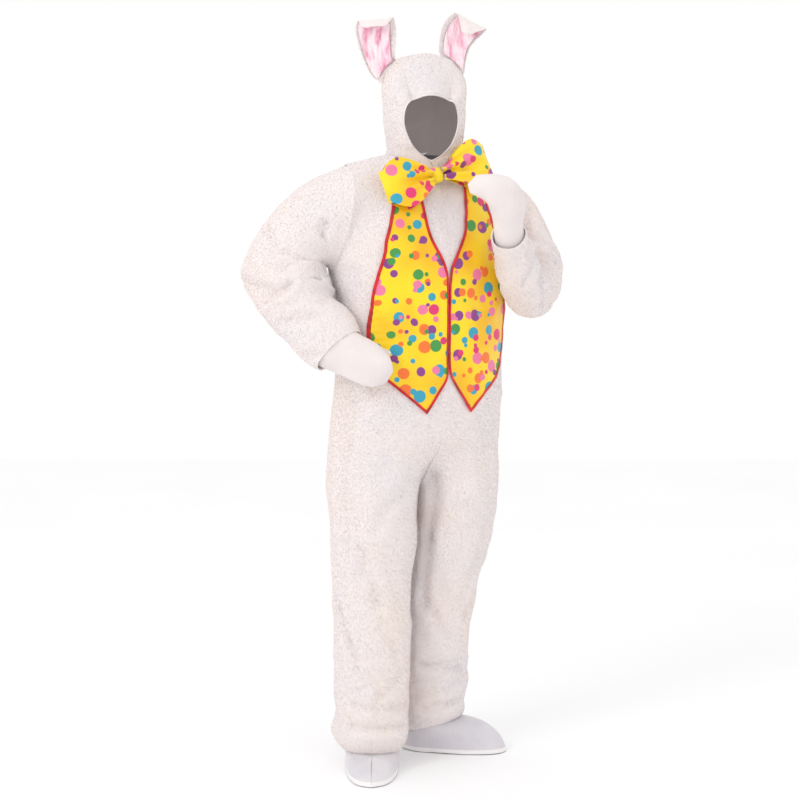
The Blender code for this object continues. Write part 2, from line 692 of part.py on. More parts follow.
def ear_points(side):
    """The ear's grid: its base on the hood, then the rows of its table."""
    outline = hood_section()
    lengths = np.concatenate([[0], np.cumsum(np.linalg.norm(np.diff(outline, axis=0), axis=1))])
    seam = len(hood_points[side]) - 1 if side == RIGHT else len(outline) - len(hood_points[side])
    outer_end, inner_end = EAR_BASES[side]
    share = np.linspace(0, 1, EAR_COLUMNS + 1)
    at = lengths[seam] + side * (outer_end + (inner_end - outer_end) * share)
    base = np.stack([np.interp(at, lengths, outline[:, axis]) for axis in range(3)], axis=1)
    base += unit(base - HOOD_MIDDLE) * EAR_SEAT
    root = base.mean(axis=0)
    rows = [base]
    for outer_x, outer_z, inner_x, inner_z, ahead, cup in EARS[side]:
        x = outer_x + (inner_x - outer_x) * share
        z = outer_z + (inner_z - outer_z) * share
        y = root[1] - ahead + cup * 4 * share * (1 - share)
        rows.append(np.stack([x, y, z], axis=1))
    return np.array(rows)


def trimmed(points):
    """The ear's grid, made narrower for the lining."""
    points = points.copy()
    outer_trim, inner_trim, base_trim = LINING_TRIM
    points[:, 0] += (points[:, 1] - points[:, 0]) * outer_trim
    points[:, -1] += (points[:, -2] - points[:, -1]) * inner_trim
    points[0] += (points[1] - points[0]) * base_trim
    return points


def build_ear(side_name, side):
    points = ear_points(side)
    way_ahead = normals_of(points, points + BEHIND_EAR)
    build(Cloth(f"ear_{side_name}_back", points, PLUSH, points + way_ahead, WHITE_PLUSH))
    front, behind = [trimmed(points + way_ahead * (PLUSH + LINING_GAP + step)) for step in (SATIN, 0.0)]
    lining = Cloth(f"ear_{side_name}_lining", front, SATIN, behind, PINK_SATIN)
    lining.inward = (behind - front) / SATIN
    build(lining)


# Mitts beyond the cuff: x, y, z, half width, half thickness
MITTS = {
    RIGHT: (
        (-0.168, -0.203, -0.466, 0.055, 0.030),
        (-0.140, -0.217, -0.482, 0.053, 0.026),
        (-0.116, -0.227, -0.496, 0.047, 0.021),
        (-0.098, -0.231, -0.506, 0.034, 0.014),
        (-0.087, -0.233, -0.512, 0.014, 0.000),
    ),
    LEFT: (
        (0.194, -0.185, -0.143, 0.036, 0.028),
        (0.197, -0.200, -0.106, 0.046, 0.027),
        (0.181, -0.206, -0.076, 0.047, 0.026),
        (0.150, -0.206, -0.060, 0.036, 0.023),
        (0.120, -0.201, -0.059, 0.026, 0.016),
        (0.100, -0.196, -0.065, 0.011, 0.000),
    ),
}
TO_VIEWER = np.array([0.0, -1.0, 0.0])
SLEEVE_SIDES = 2 * CHEST_ROWS
HALF_SIDES = CHEST_ROWS
TUCKED_RINGS = (-3, -2, -1)
CUFF_FIT = 0.88
WALL_GAP = 0.0005
THUMB_GAP = 0.0011
# Where each cuff rests on its mitt, and where the seam between back and palm starts, in sides round the cuff
CUFF_REST = {RIGHT: 4, LEFT: 8}
PALM_SEAM = {RIGHT: 0, LEFT: -4}


def mitt_rings(side):
    """Rings of the mitt: tucked into the sleeve, then out to the closed tip."""
    cuff = sleeves[side]
    inner = cuff.points + cuff.inward * (PLUSH + WALL_GAP)
    rings = []
    for ring in TUCKED_RINGS:
        rest = inner[ring, CUFF_REST[side]]
        rings.append(rest + (inner[ring] - rest) * CUFF_FIT)
    table = np.array(MITTS[side])
    path = np.concatenate([[rings[-1].mean(axis=0)], table[:, :3]])
    ahead = unit(np.gradient(path, axis=0))[1:]
    angle = np.arange(SLEEVE_SIDES)[:, None] * 2 * math.pi / SLEEVE_SIDES
    for (x, y, z, half_width, half_thickness), way in zip(table, ahead):
        width = unit(np.cross(way, TO_VIEWER)) * half_width
        thickness = TO_VIEWER * half_thickness
        first, second = (width, thickness) if side == RIGHT else (thickness, width)
        rings.append(np.array([x, y, z]) + first * np.cos(angle) + second * np.sin(angle))
    return np.array(rings)


# Thumbs: the palm's row and column where each starts, its length, way and half width
THUMBS = {
    RIGHT: (3, 1, 0.040, (0.86, 0.0, -0.10), 0.008),
    LEFT: (4, 3, 0.044, (-0.95, 0.0, -0.10), 0.009),
}
# From the palm out: bend toward the thumb's way, share of its length, height in half widths, share of its width
THUMB_RINGS = (
    (35, 0.00, 0.80, 1.00),
    (75, 0.22, 1.25, 1.00),
    (90, 0.60, 1.30, 0.96),
    (90, 0.90, 1.25, 0.72),
)


def thumb_points(side, palm):
    """A closed tube from a small square of the palm, bent over to lie along it."""
    row, column, length, way, half_width = THUMBS[side]
    square = [
        (row, column), (row, column + 1), (row, column + 2), (row + 1, column + 2),
        (row + 2, column + 2), (row + 2, column + 1), (row + 2, column), (row + 1, column),
    ]
    base = np.array([palm.points[place] + palm.normals[place] * THUMB_GAP for place in square])
    out = unit(np.mean([palm.normals[place] for place in square], axis=0))
    way = unit(np.array(way) - out * (out @ way))
    aside = np.cross(out, way)
    middle = palm.points[row + 1, column + 1]
    angle = np.arctan2((base - middle) @ aside, (base - middle) @ way)[:, None]
    rings = [base]
    for bend, along, height, size in THUMB_RINGS:
        turn = math.radians(bend)
        forward = way * math.cos(turn) - out * math.sin(turn)
        centre = middle + way * length * along + out * half_width * height
        rings.append(centre + (forward * np.cos(angle) + aside * np.sin(angle)) * half_width * size)
    return np.array(rings)


def build_mitt(side_name, side):
    rings = mitt_rings(side)
    around = PALM_SEAM[side] + np.arange(HALF_SIDES + 1)
    middle = rings.mean(axis=1, keepdims=True)
    back = rings[:, around % SLEEVE_SIDES]
    palm = rings[:, (around + HALF_SIDES) % SLEEVE_SIDES]
    halves = [
        Cloth(f"mitt_{side_name}_back", back, KNIT, middle, WHITE_KNIT),
        Cloth(f"mitt_{side_name}_palm", palm, KNIT, middle, WHITE_KNIT),
    ]
    share_seams(halves)
    for half in halves:
        build(half)
    points = thumb_points(side, halves[1])
    middle = points.mean(axis=1, keepdims=True)
    thumb = Cloth(f"mitt_{side_name}_thumb", points, KNIT, middle, WHITE_KNIT, True, True)
    way_up = unit(middle[1] - middle[0])
    toward = middle[0] - points[0]
    thumb.inward[0] = unit(toward - way_up * np.sum(toward * way_up, axis=1, keepdims=True))
    thumb.trim[0] = way_up * SEAM_GAP
    build(thumb)


# Shoe covers: the foot's turn, reach of the toe and of the heel from the hem's centre, half width, sole height
SHOE_COVERS = {RIGHT: (0, 0.190, 0.080, 0.068), LEFT: (75, 0.205, 0.080, 0.066)}
SOLE_HEIGHT = -1.513
SOLE_SQUARENESS = 2.4
COVER_TUCK = 0.035
COVER_TUCK_IN = 0.010
COVER_DROP = 0.0045
COVER_SHARES = (0.22, 0.42, 0.62, 0.82, 1.0)
TOE_SIDE, HEEL_SIDE = COLUMNS // 2, COLUMNS * 3 // 2


def hem_ring(side):
    """The leg's inner hem, from the outer side seam round the front."""
    rows = []
    for face, columns in ((FRONT, slice(0, COLUMNS + 1)), (BACK, slice(COLUMNS - 1, 0, -1))):
        panel = panels[side, face]
        rows.append((panel.points + panel.inward * (PLUSH + WALL_GAP))[-1, columns])
    return np.concatenate(rows)


def cover_rings(side):
    turn, toe, heel, half_width = SHOE_COVERS[side]
    seat = hem_ring(side)
    centre = seat.mean(axis=0)
    count = len(seat)
    angle = np.arange(count) * 2 * math.pi / count
    power = 2 / SOLE_SQUARENESS
    ahead = np.sign(np.sin(angle)) * np.abs(np.sin(angle)) ** power
    ahead *= np.where(ahead > 0, toe, heel)
    aside = side * half_width * np.sign(np.cos(angle)) * np.abs(np.cos(angle)) ** power
    way = math.radians(turn)
    sole = centre + across_of(way) * aside[:, None] + forward_of(way) * ahead[:, None]
    sole[:, 2] = SOLE_HEIGHT
    tucked = seat + unit((centre - seat) * [1, 1, 0]) * COVER_TUCK_IN + UP * COVER_TUCK
    below = seat - UP * COVER_DROP
    rings = [tucked, seat, below]
    for share in COVER_SHARES:
        spread = math.sin(share * math.pi / 2)
        drop = 1 - math.cos(share * math.pi / 2)
        rings.append(below + (sole - below) * [spread, spread, drop])
    return np.array(rings)


def build_cover(side_name, side):
    rings = cover_rings(side)
    count = rings.shape[1]
    middle = rings.mean(axis=1, keepdims=True)
    middle[:, :, 2] -= COVER_TUCK
    outer = (HEEL_SIDE + np.arange(COLUMNS + 1)) % count
    inner = (TOE_SIDE + np.arange(COLUMNS + 1)) % count
    halves = [
        Cloth(f"shoe_cover_{side_name}_outer", rings[:, outer], KNIT, middle, WHITE_KNIT),
        Cloth(f"shoe_cover_{side_name}_inner", rings[:, inner], KNIT, middle, WHITE_KNIT),
    ]
    share_seams(halves)
    for half in halves:
        build(half)


# The vest's outline with its binding: height, inner edge and outer edge across from the centre front
VEST = (
    (-0.046, 0.064, 0.120),
    (-0.100, 0.057, 0.128),
    (-0.177, 0.045, 0.149),
    (-0.250, 0.006, 0.168),
    (-0.330, 0.001, 0.183),
    (-0.410, 0.001, 0.188),
    (-0.470, 0.001, 0.180),
    (-0.520, 0.001, 0.158),
)
VEST_ORIGIN = np.array([-0.014, 0.0, 0.0])
VEST_COLUMNS = 8
VEST_ROWS = 14
VEST_POINT_COLUMN = 3
VEST_POINT_DROP = 0.088
VEST_CLEAR = 0.0028
VEST_BINDING_WIDTH = 0.0065
CENTRE_BINDING_WIDTH = 0.0045
VEST_BINDING_THICKNESS = 0.003
CENTRE_EDGE = 0.003
FINE = 4
INTO_CHEST = 0.2


def fine_panel(side):
    """The suit's front panel on a finer grid, with its way out, for what lies on it."""
    points = panels[side, FRONT].points[: CROTCH_ROW + 1]
    for _ in ("rows", "columns"):
        flat = [(number, *row.reshape(-1)) for number, row in enumerate(points)]
        keys = np.linspace(0, len(points) - 1, (len(points) - 1) * FINE + 1)
        points = read(flat, keys)[:, 1:].reshape(len(keys), -1, 3).transpose(1, 0, 2)
    return points, normals_of(points, panels[side, FRONT].points.mean(axis=(0, 1)) - FORWARD * INTO_CHEST)


fine_panels = {side: fine_panel(side) for _, side in SIDES}


def on_front(side, across, height):
    """The suit's surface at distances across from the centre front and heights, and its way out there."""
    points, normals = fine_panels[side]
    own_across = side * ((points - VEST_ORIGIN) @ ACROSS)
    along = [np.gradient(points, axis=axis) for axis in (0, 1)]
    found, way_out = [], []
    for wanted_across, wanted_height in zip(np.ravel(across), np.ravel(height)):
        away = (own_across - wanted_across) ** 2 + (points[:, :, 2] - wanted_height) ** 2
        row, column = np.unravel_index(np.argmin(away), away.shape)
        steps = np.array([[side * (way[row, column] @ ACROSS), way[row, column, 2]] for way in along]).T
        missing = [wanted_across - own_across[row, column], wanted_height - points[row, column, 2]]
        move = np.clip(np.linalg.solve(steps, missing), -1, 1)
        found.append(points[row, column] + along[0][row, column] * move[0] + along[1][row, column] * move[1])
        way_out.append(normals[row, column])
    shape = (*np.shape(across), 3)
    return np.array(found).reshape(shape), np.array(way_out).reshape(shape)


def lay_on_front(name, side, across, height, thickness, finish):
    """A piece sewn flat onto the suit's front."""
    base, way_out = on_front(side, across, height)
    piece = Cloth(name, base + way_out * (VEST_CLEAR + thickness), thickness, base - way_out, finish)
    piece.inward = -way_out
    build(piece)


def vest_outline():
    """The vest's grid of places across and heights, to the outside of its binding."""
    heights = np.linspace(VEST[0][0], VEST[-1][0], VEST_ROWS + 1)
    _, inner, outer = read(VEST, heights).T
    share = np.linspace(0, 1, VEST_COLUMNS + 1)
    point_share = VEST_POINT_COLUMN / VEST_COLUMNS
    drop = VEST_POINT_DROP * np.interp(share, (0, point_share, 1), (0, 1, 0))
    down = np.linspace(0, 1, VEST_ROWS + 1)[:, None]
    across = inner[:, None] + (outer - inner)[:, None] * share
    return across, heights[:, None] - drop * down**3


def rim_of(grid):
    """The edge of a grid that the binding follows: down the inner edge, along the bottom, up the outer."""
    return np.concatenate([grid[:, 0], grid[-1, 1:], grid[-2::-1, -1]])


def build_vest(side_name, side):
    across, height = vest_outline()
    rim = np.stack([rim_of(across), rim_of(height)], axis=1)
    along = unit(np.diff(rim, axis=0))
    turned = np.stack([along[:, 1], -along[:, 0]], axis=1)
    into = -turned if np.cross(along[0], rim.mean(axis=0) - rim[0]) > 0 else turned
    before, after = np.vstack([into[:1], into]), np.vstack([into, into[-1:]])
    lean = (before + after) / (1 + np.sum(before * after, axis=1, keepdims=True))
    centre = np.where(rim[:, 0] < CENTRE_EDGE, CENTRE_BINDING_WIDTH, VEST_BINDING_WIDTH)[:, None]
    inside = rim + lean * centre
    edge = VEST_ROWS + 1
    across[:, 0], height[:, 0] = inside[:edge].T
    across[-1, 1:], height[-1, 1:] = inside[edge : edge + VEST_COLUMNS].T
    across[-2::-1, -1], height[-2::-1, -1] = inside[edge + VEST_COLUMNS :].T
    lay_on_front(f"vest_front_{side_name}", side, across, height, SATIN, DOT_SATIN)
    pair = np.stack([rim, inside])
    name = f"vest_binding_{side_name}"
    lay_on_front(name, side, pair[:, :, 0], pair[:, :, 1], VEST_BINDING_THICKNESS, RED_BINDING)


# The bow: the knot's middle, its half sizes, and each loop's length and half heights
BOW_ACROSS = -0.012
BOW_HEIGHT = -0.030
BOW_RISE = math.radians(14)
BOW_TILT = math.radians(17)
BOW_BACK_LEAN = 0.10
KNOT_SIZE = np.array([0.017, 0.016, 0.021])
LOOP_LENGTH = 0.130
LOOP_HALF_HEIGHTS = ((0.0, 0.015), (0.030, 0.038), (0.070, 0.062), (0.130, 0.074))
LOOP_PUFF = (0.024, 0.004)
LOOP_SIDES = 14
LOOP_ROWS = 6
PLEAT_DEPTH = 0.010
PLEAT_WIDTH = 0.016
LEVEL_OF_CHEST = -0.040
LAPEL_EDGE = 0.050
ON_SUIT = 0.0008
ON_VEST = VEST_CLEAR + VEST_BINDING_THICKNESS + 0.0006

BOW_ALONG = unit(ACROSS * math.cos(BOW_RISE) + UP * math.sin(BOW_RISE))
BOW_UP = unit(UP * math.cos(BOW_RISE) - ACROSS * math.sin(BOW_RISE))
BOW_UP = BOW_UP * math.cos(BOW_TILT) - FORWARD * math.sin(BOW_TILT)
BOW_OUT = FORWARD * math.cos(BOW_TILT) + UP * math.sin(BOW_TILT)


def seated(points):
    """How far forward the points must move to lie on the suit's front and the vest."""
    across = (points.reshape(-1, 3) - VEST_ORIGIN) @ ACROSS
    height = points.reshape(-1, 3)[:, 2]
    needed = []
    for point, aside, level in zip(points.reshape(-1, 3), across, height):
        if level < LEVEL_OF_CHEST:
            surface, _ = on_front(LEFT if aside > 0 else RIGHT, abs(aside), level)
            clear = ON_VEST if abs(aside) > LAPEL_EDGE else ON_SUIT
            needed.append((surface - point) @ FORWARD + clear)
    return FORWARD * max(needed)


def loop_points(knot, side):
    """A flattened band of satin, open above and below and drawn together at the knot."""
    way = unit(BOW_ALONG * side - FORWARD * BOW_BACK_LEAN)
    angle = np.arange(LOOP_SIDES) * 2 * math.pi / LOOP_SIDES
    distance = LOOP_LENGTH * (1 - np.cos(angle)) / 2
    height = np.interp(distance, *np.array(LOOP_HALF_HEIGHTS).T)
    front, back = LOOP_PUFF
    puff = np.sin(angle) * np.where(np.sin(angle) > 0, front, back)
    start = knot + way * (KNOT_SIZE[0] + SEAM_GAP)
    rows = []
    for share in np.linspace(-1, 1, LOOP_ROWS + 1):
        pleat = PLEAT_DEPTH * np.exp(-((share * height / PLEAT_WIDTH) ** 2)) * (1 - distance / LOOP_LENGTH)
        pleat *= np.clip(np.sin(angle), 0, 1)
        along = way * distance[:, None]
        rows.append(start + along + BOW_UP * (share * height)[:, None] + BOW_OUT * (puff - pleat)[:, None])
    return np.array(rows)


def build_bow():
    knot = VEST_ORIGIN + ACROSS * BOW_ACROSS + UP * BOW_HEIGHT
    loops = {side: loop_points(knot, side) for _, side in SIDES}
    forward = seated(np.stack(list(loops.values())))
    for side_name, side in SIDES:
        points = loops[side] + forward
        middle = points.mean(axis=1, keepdims=True)
        build(Cloth(f"bow_loop_{side_name}", points, SATIN, middle, DOT_SATIN, True))
    build_knot(knot)


KNOT_BANDS = 6
KNOT_SIDES = 10
KNOT_SQUARENESS = 0.65


def build_knot(knot):
    """The knot: a small padded block with round corners, seated on the suit."""
    corners = []
    for band in range(1, KNOT_BANDS):
        turn = band * math.pi / KNOT_BANDS
        reach = math.sin(turn) ** KNOT_SQUARENESS
        for step in range(KNOT_SIDES):
            angle = step * 2 * math.pi / KNOT_SIDES
            across = math.copysign(abs(math.cos(angle)) ** KNOT_SQUARENESS, math.cos(angle)) * reach
            ahead = math.copysign(abs(math.sin(angle)) ** KNOT_SQUARENESS, math.sin(angle)) * reach
            corners.append(KNOT_SIZE * [across, ahead, math.cos(turn)])
    top, bottom = len(corners), len(corners) + 1
    corners += [KNOT_SIZE * [0, 0, 1], KNOT_SIZE * [0, 0, -1]]
    corners = knot + np.array(corners) @ np.array([BOW_ALONG, BOW_OUT, BOW_UP])
    corners += seated(corners)
    faces = []
    last = (KNOT_BANDS - 2) * KNOT_SIDES
    for step in range(KNOT_SIDES):
        after = (step + 1) % KNOT_SIDES
        faces.append((top, step, after))
        faces.append((bottom, last + after, last + step))
        for band in range(KNOT_BANDS - 2):
            a, b = band * KNOT_SIDES + step, band * KNOT_SIDES + after
            faces.append((a, a + KNOT_SIDES, b + KNOT_SIDES, b))
    solid("bow_knot", corners, faces, DOT_SATIN)


suit = list(panels.values()) + list(sleeves.values()) + hood
share_seams(suit)
hood[GUSSET_PIECE].trim[-1] *= NAPE_TRIM
for piece in suit:
    build(piece)
for side_name, side in SIDES:
    build_ear(side_name, side)
    build_mitt(side_name, side)
    build_cover(side_name, side)
    build_vest(side_name, side)
build_bow()
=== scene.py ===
# %% [markdown]
# # A rabbit dressing-up costume, worn and hollow
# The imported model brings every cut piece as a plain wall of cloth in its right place. This script gives
# each piece the surface that the real cloth has: creased plush with a short pile, smooth knit, wrinkled
# pink satin and dotted satin with red binding. Nothing is moved: each new piece starts from its own wall.

import json
import math

import bmesh
import bpy
import numpy as np
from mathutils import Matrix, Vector
from mathutils.kdtree import KDTree


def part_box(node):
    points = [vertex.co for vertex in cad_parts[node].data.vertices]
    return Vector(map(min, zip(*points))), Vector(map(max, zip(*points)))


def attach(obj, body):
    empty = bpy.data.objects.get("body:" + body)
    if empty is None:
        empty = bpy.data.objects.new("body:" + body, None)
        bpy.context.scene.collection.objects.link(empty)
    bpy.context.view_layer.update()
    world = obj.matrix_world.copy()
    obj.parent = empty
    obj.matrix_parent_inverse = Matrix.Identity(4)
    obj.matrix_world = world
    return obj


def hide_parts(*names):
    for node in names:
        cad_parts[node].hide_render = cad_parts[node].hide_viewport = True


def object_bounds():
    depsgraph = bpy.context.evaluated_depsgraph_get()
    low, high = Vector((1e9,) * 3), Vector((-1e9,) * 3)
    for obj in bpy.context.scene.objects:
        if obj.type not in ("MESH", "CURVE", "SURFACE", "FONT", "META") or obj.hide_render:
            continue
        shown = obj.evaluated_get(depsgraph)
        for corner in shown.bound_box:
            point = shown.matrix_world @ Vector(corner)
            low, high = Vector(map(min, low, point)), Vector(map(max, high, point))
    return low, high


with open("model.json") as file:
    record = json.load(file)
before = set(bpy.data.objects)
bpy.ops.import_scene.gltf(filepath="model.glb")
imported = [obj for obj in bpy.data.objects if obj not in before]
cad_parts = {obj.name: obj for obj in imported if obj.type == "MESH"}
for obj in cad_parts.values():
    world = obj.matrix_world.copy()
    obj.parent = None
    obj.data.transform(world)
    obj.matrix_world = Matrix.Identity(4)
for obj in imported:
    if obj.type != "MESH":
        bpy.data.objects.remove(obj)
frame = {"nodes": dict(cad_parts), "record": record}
cad_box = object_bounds()
print("pieces in the frame:", len(frame["nodes"]))

# %% Sizes that all pieces share
WELD = 0.00002
SHARP = math.radians(55)
JOIN_ACROSS = math.radians(40)
JOIN_SHAPE = math.radians(60)
SEED = 11
UP = np.array([0.0, 0.0, 1.0])
BODY_TURN = math.radians(26)
ACROSS = np.array([math.cos(BODY_TURN), math.sin(BODY_TURN), 0.0])
FORWARD = np.array([math.sin(BODY_TURN), -math.cos(BODY_TURN), 0.0])
RIGHT, LEFT = -1, 1
SIDES = {"right": RIGHT, "left": LEFT}
FLOOR_HEIGHT = cad_box[0][2] - 0.002
print(f"the body is turned {math.degrees(BODY_TURN):.0f} degrees, the floor is at {FLOOR_HEIGHT:.3f} m")


def unit(vectors):
    """The same ways, each one metre long."""
    return vectors / np.maximum(np.linalg.norm(vectors, axis=-1, keepdims=True), 1e-12)


def into_scene(made):
    bpy.context.scene.collection.objects.link(made)
    return made


# %% [markdown]
# ## From a plain wall to a smooth one
# Real cloth bends in smooth curves, but a packed wall is loose flat triangles. Sculpting or a cloth
# simulation could smooth it, but neither keeps the seams where they are. Here its points are welded, its
# triangles are joined to four-sided faces and its sharp rim is creased. A Subdivision Surface then rounds
# the cloth and still keeps every seam closed, because two pieces that meet share the same rim.

# %% Smooth copies of the walls


def smooth_wall(node, name, levels, sharp=SHARP):
    """A finer, smooth copy of a packed wall, as an object at the origin."""
    work = bmesh.new()
    work.from_mesh(frame["nodes"][node].data)
    bmesh.ops.remove_doubles(work, verts=work.verts, dist=WELD)
    bmesh.ops.dissolve_degenerate(work, edges=work.edges, dist=WELD)
    bmesh.ops.join_triangles(
        work,
        faces=work.faces[:],
        angle_face_threshold=JOIN_ACROSS,
        angle_shape_threshold=JOIN_SHAPE,
    )
    crease = work.edges.layers.float.new("crease_edge")
    for edge in work.edges:
        rim = len(edge.link_faces) == 2 and edge.calc_face_angle() > sharp
        edge[crease] = 1.0 if rim else 0.0
        edge.smooth = not rim
    for face in work.faces:
        face.smooth = True
    mesh = bpy.data.meshes.new(name)
    work.to_mesh(mesh)
    work.free()
    coarse = into_scene(bpy.data.objects.new(name, mesh))
    finer = coarse.modifiers.new("finer", "SUBSURF")
    finer.levels = finer.render_levels = levels
    return applied(coarse)


def applied(piece):
    """The piece with its modifiers turned into a plain mesh."""
    graph = bpy.context.evaluated_depsgraph_get()
    mesh = bpy.data.meshes.new_from_object(piece.evaluated_get(graph))
    mesh.name = piece.name
    piece.modifiers.clear()
    piece.data = mesh
    return piece


def rows_of(mesh, what):
    """A mesh's points, or the ways that they face, as rows of x, y and z."""
    flat = np.empty(len(mesh.vertices) * 3, np.float32)
    mesh.vertices.foreach_get(what, flat)
    return flat.reshape(-1, 3).astype(float)


def points_of(piece):
    return rows_of(piece.data, "co")


def move_to(piece, points):
    piece.data.vertices.foreach_set("co", points.astype(np.float32).reshape(-1))
    piece.data.update()


# %% [markdown]
# ## Limbs
# On the real suit every fold belongs to a leg, a sleeve or the body. Folds could be placed by points in
# space, but it is easier to say how far along a limb's middle line they run, and their place round it. The
# same two numbers serve both faces of a wall, so a crease moves the inside of the cloth as much as the
# outside. Degrees go round from 0 at the outer side over 90 in front to 180 at the inner side.

# %% Middle lines: points down each limb, and the way to its outer side at each
SUIT_MIDDLES = {
    RIGHT: (
        (-0.010, 0.004, 0.000), (-0.012, 0.000, -0.260), (-0.019, 0.000, -0.600), (-0.135, -0.044, -0.830),
        (-0.132, -0.048, -0.940), (-0.133, -0.046, -1.145), (-0.134, -0.048, -1.474),
    ),
    LEFT: (
        (-0.010, 0.004, 0.000), (-0.012, 0.000, -0.260), (-0.019, 0.000, -0.600), (0.067, 0.054, -0.830),
        (0.066, 0.059, -0.940), (0.038, 0.074, -1.093), (0.021, 0.090, -1.240), (0.016, 0.110, -1.450),
    ),
}
# The outer and the inner edge of each sleeve at a few places from shoulder to cuff
SLEEVE_EDGES = {
    RIGHT: (
        ((-0.210, -0.095, -0.010), (-0.195, -0.085, -0.240)),
        ((-0.278, -0.085, -0.038), (-0.268, -0.085, -0.250)),
        ((-0.414, -0.070, -0.168), (-0.259, -0.104, -0.284)),
        ((-0.432, -0.078, -0.328), (-0.234, -0.138, -0.312)),
        ((-0.330, -0.146, -0.445), (-0.212, -0.152, -0.335)),
        ((-0.262, -0.190, -0.500), (-0.158, -0.195, -0.402)),
    ),
    LEFT: (
        ((0.180, 0.095, -0.030), (0.160, 0.080, -0.235)),
        ((0.238, 0.095, -0.052), (0.212, 0.085, -0.240)),
        ((0.308, 0.080, -0.165), (0.234, 0.024, -0.262)),
        ((0.311, 0.045, -0.345), (0.250, -0.030, -0.256)),
        ((0.240, -0.092, -0.345), (0.222, -0.090, -0.215)),
        ((0.205, -0.186, -0.208), (0.192, -0.154, -0.140)),
    ),
}
HOOD_MIDDLES = ((0.000, -0.004, -0.050), (0.000, -0.002, 0.060), (0.000, 0.000, 0.170))
# About how far each limb's cloth lies from its middle line, which turns degrees into metres
SUIT_RADIUS = 0.11
SLEEVE_RADIUS = 0.085
HOOD_RADIUS = 0.10


class Limb:
    """A middle line with the way to its outer side at each of its points."""

    def __init__(self, middles, outer_ways, side, radius):
        self.middles = np.array(middles, float)
        self.outer_ways = unit(np.array(outer_ways, float))
        self.side = side
        self.radius = radius

    def places(self, points):
        """For each point: metres along the limb, degrees round it, and the way out of it."""
        starts, steps = self.middles[:-1], np.diff(self.middles, axis=0)
        lengths = np.linalg.norm(steps, axis=1)
        share = ((points[:, None] - starts) * steps).sum(axis=2) / lengths**2
        share = np.clip(share, 0, 1)
        nearest = starts + steps * share[..., None]
        at = np.linalg.norm(points[:, None] - nearest, axis=2).argmin(axis=1)
        own = np.arange(len(points))
        share, nearest = share[own, at], nearest[own, at]
        along = np.concatenate([[0], np.cumsum(lengths)])[at] + share * lengths[at]
        out = unit(points - nearest)
        outer = self.outer_ways[at] * (1 - share)[:, None] + self.outer_ways[at + 1] * share[:, None]
        aside = unit(np.cross(outer, steps[at])) * -self.side
        degrees = np.degrees(np.arctan2((out * aside).sum(axis=1), (out * outer).sum(axis=1)))
        return along, degrees, out


def suit_limb(side):
    middles = SUIT_MIDDLES[side]
    return Limb(middles, [ACROSS * side] * len(middles), side, SUIT_RADIUS)


def sleeve_limb(side):
    edges = np.array(SLEEVE_EDGES[side])
    return Limb(edges.mean(axis=1), edges[:, 0] - edges[:, 1], side, SLEEVE_RADIUS)


LIMBS = {f"suit_{name}": suit_limb(side) for name, side in SIDES.items()}
LIMBS.update({f"sleeve_{name}": sleeve_limb(side) for name, side in SIDES.items()})
LIMBS["hood"] = Limb(HOOD_MIDDLES, [ACROSS] * len(HOOD_MIDDLES), RIGHT, HOOD_RADIUS)
for limb_name, limb in LIMBS.items():
    print(f"{limb_name}: {np.linalg.norm(np.diff(limb.middles, axis=0), axis=1).sum():.2f} m long")
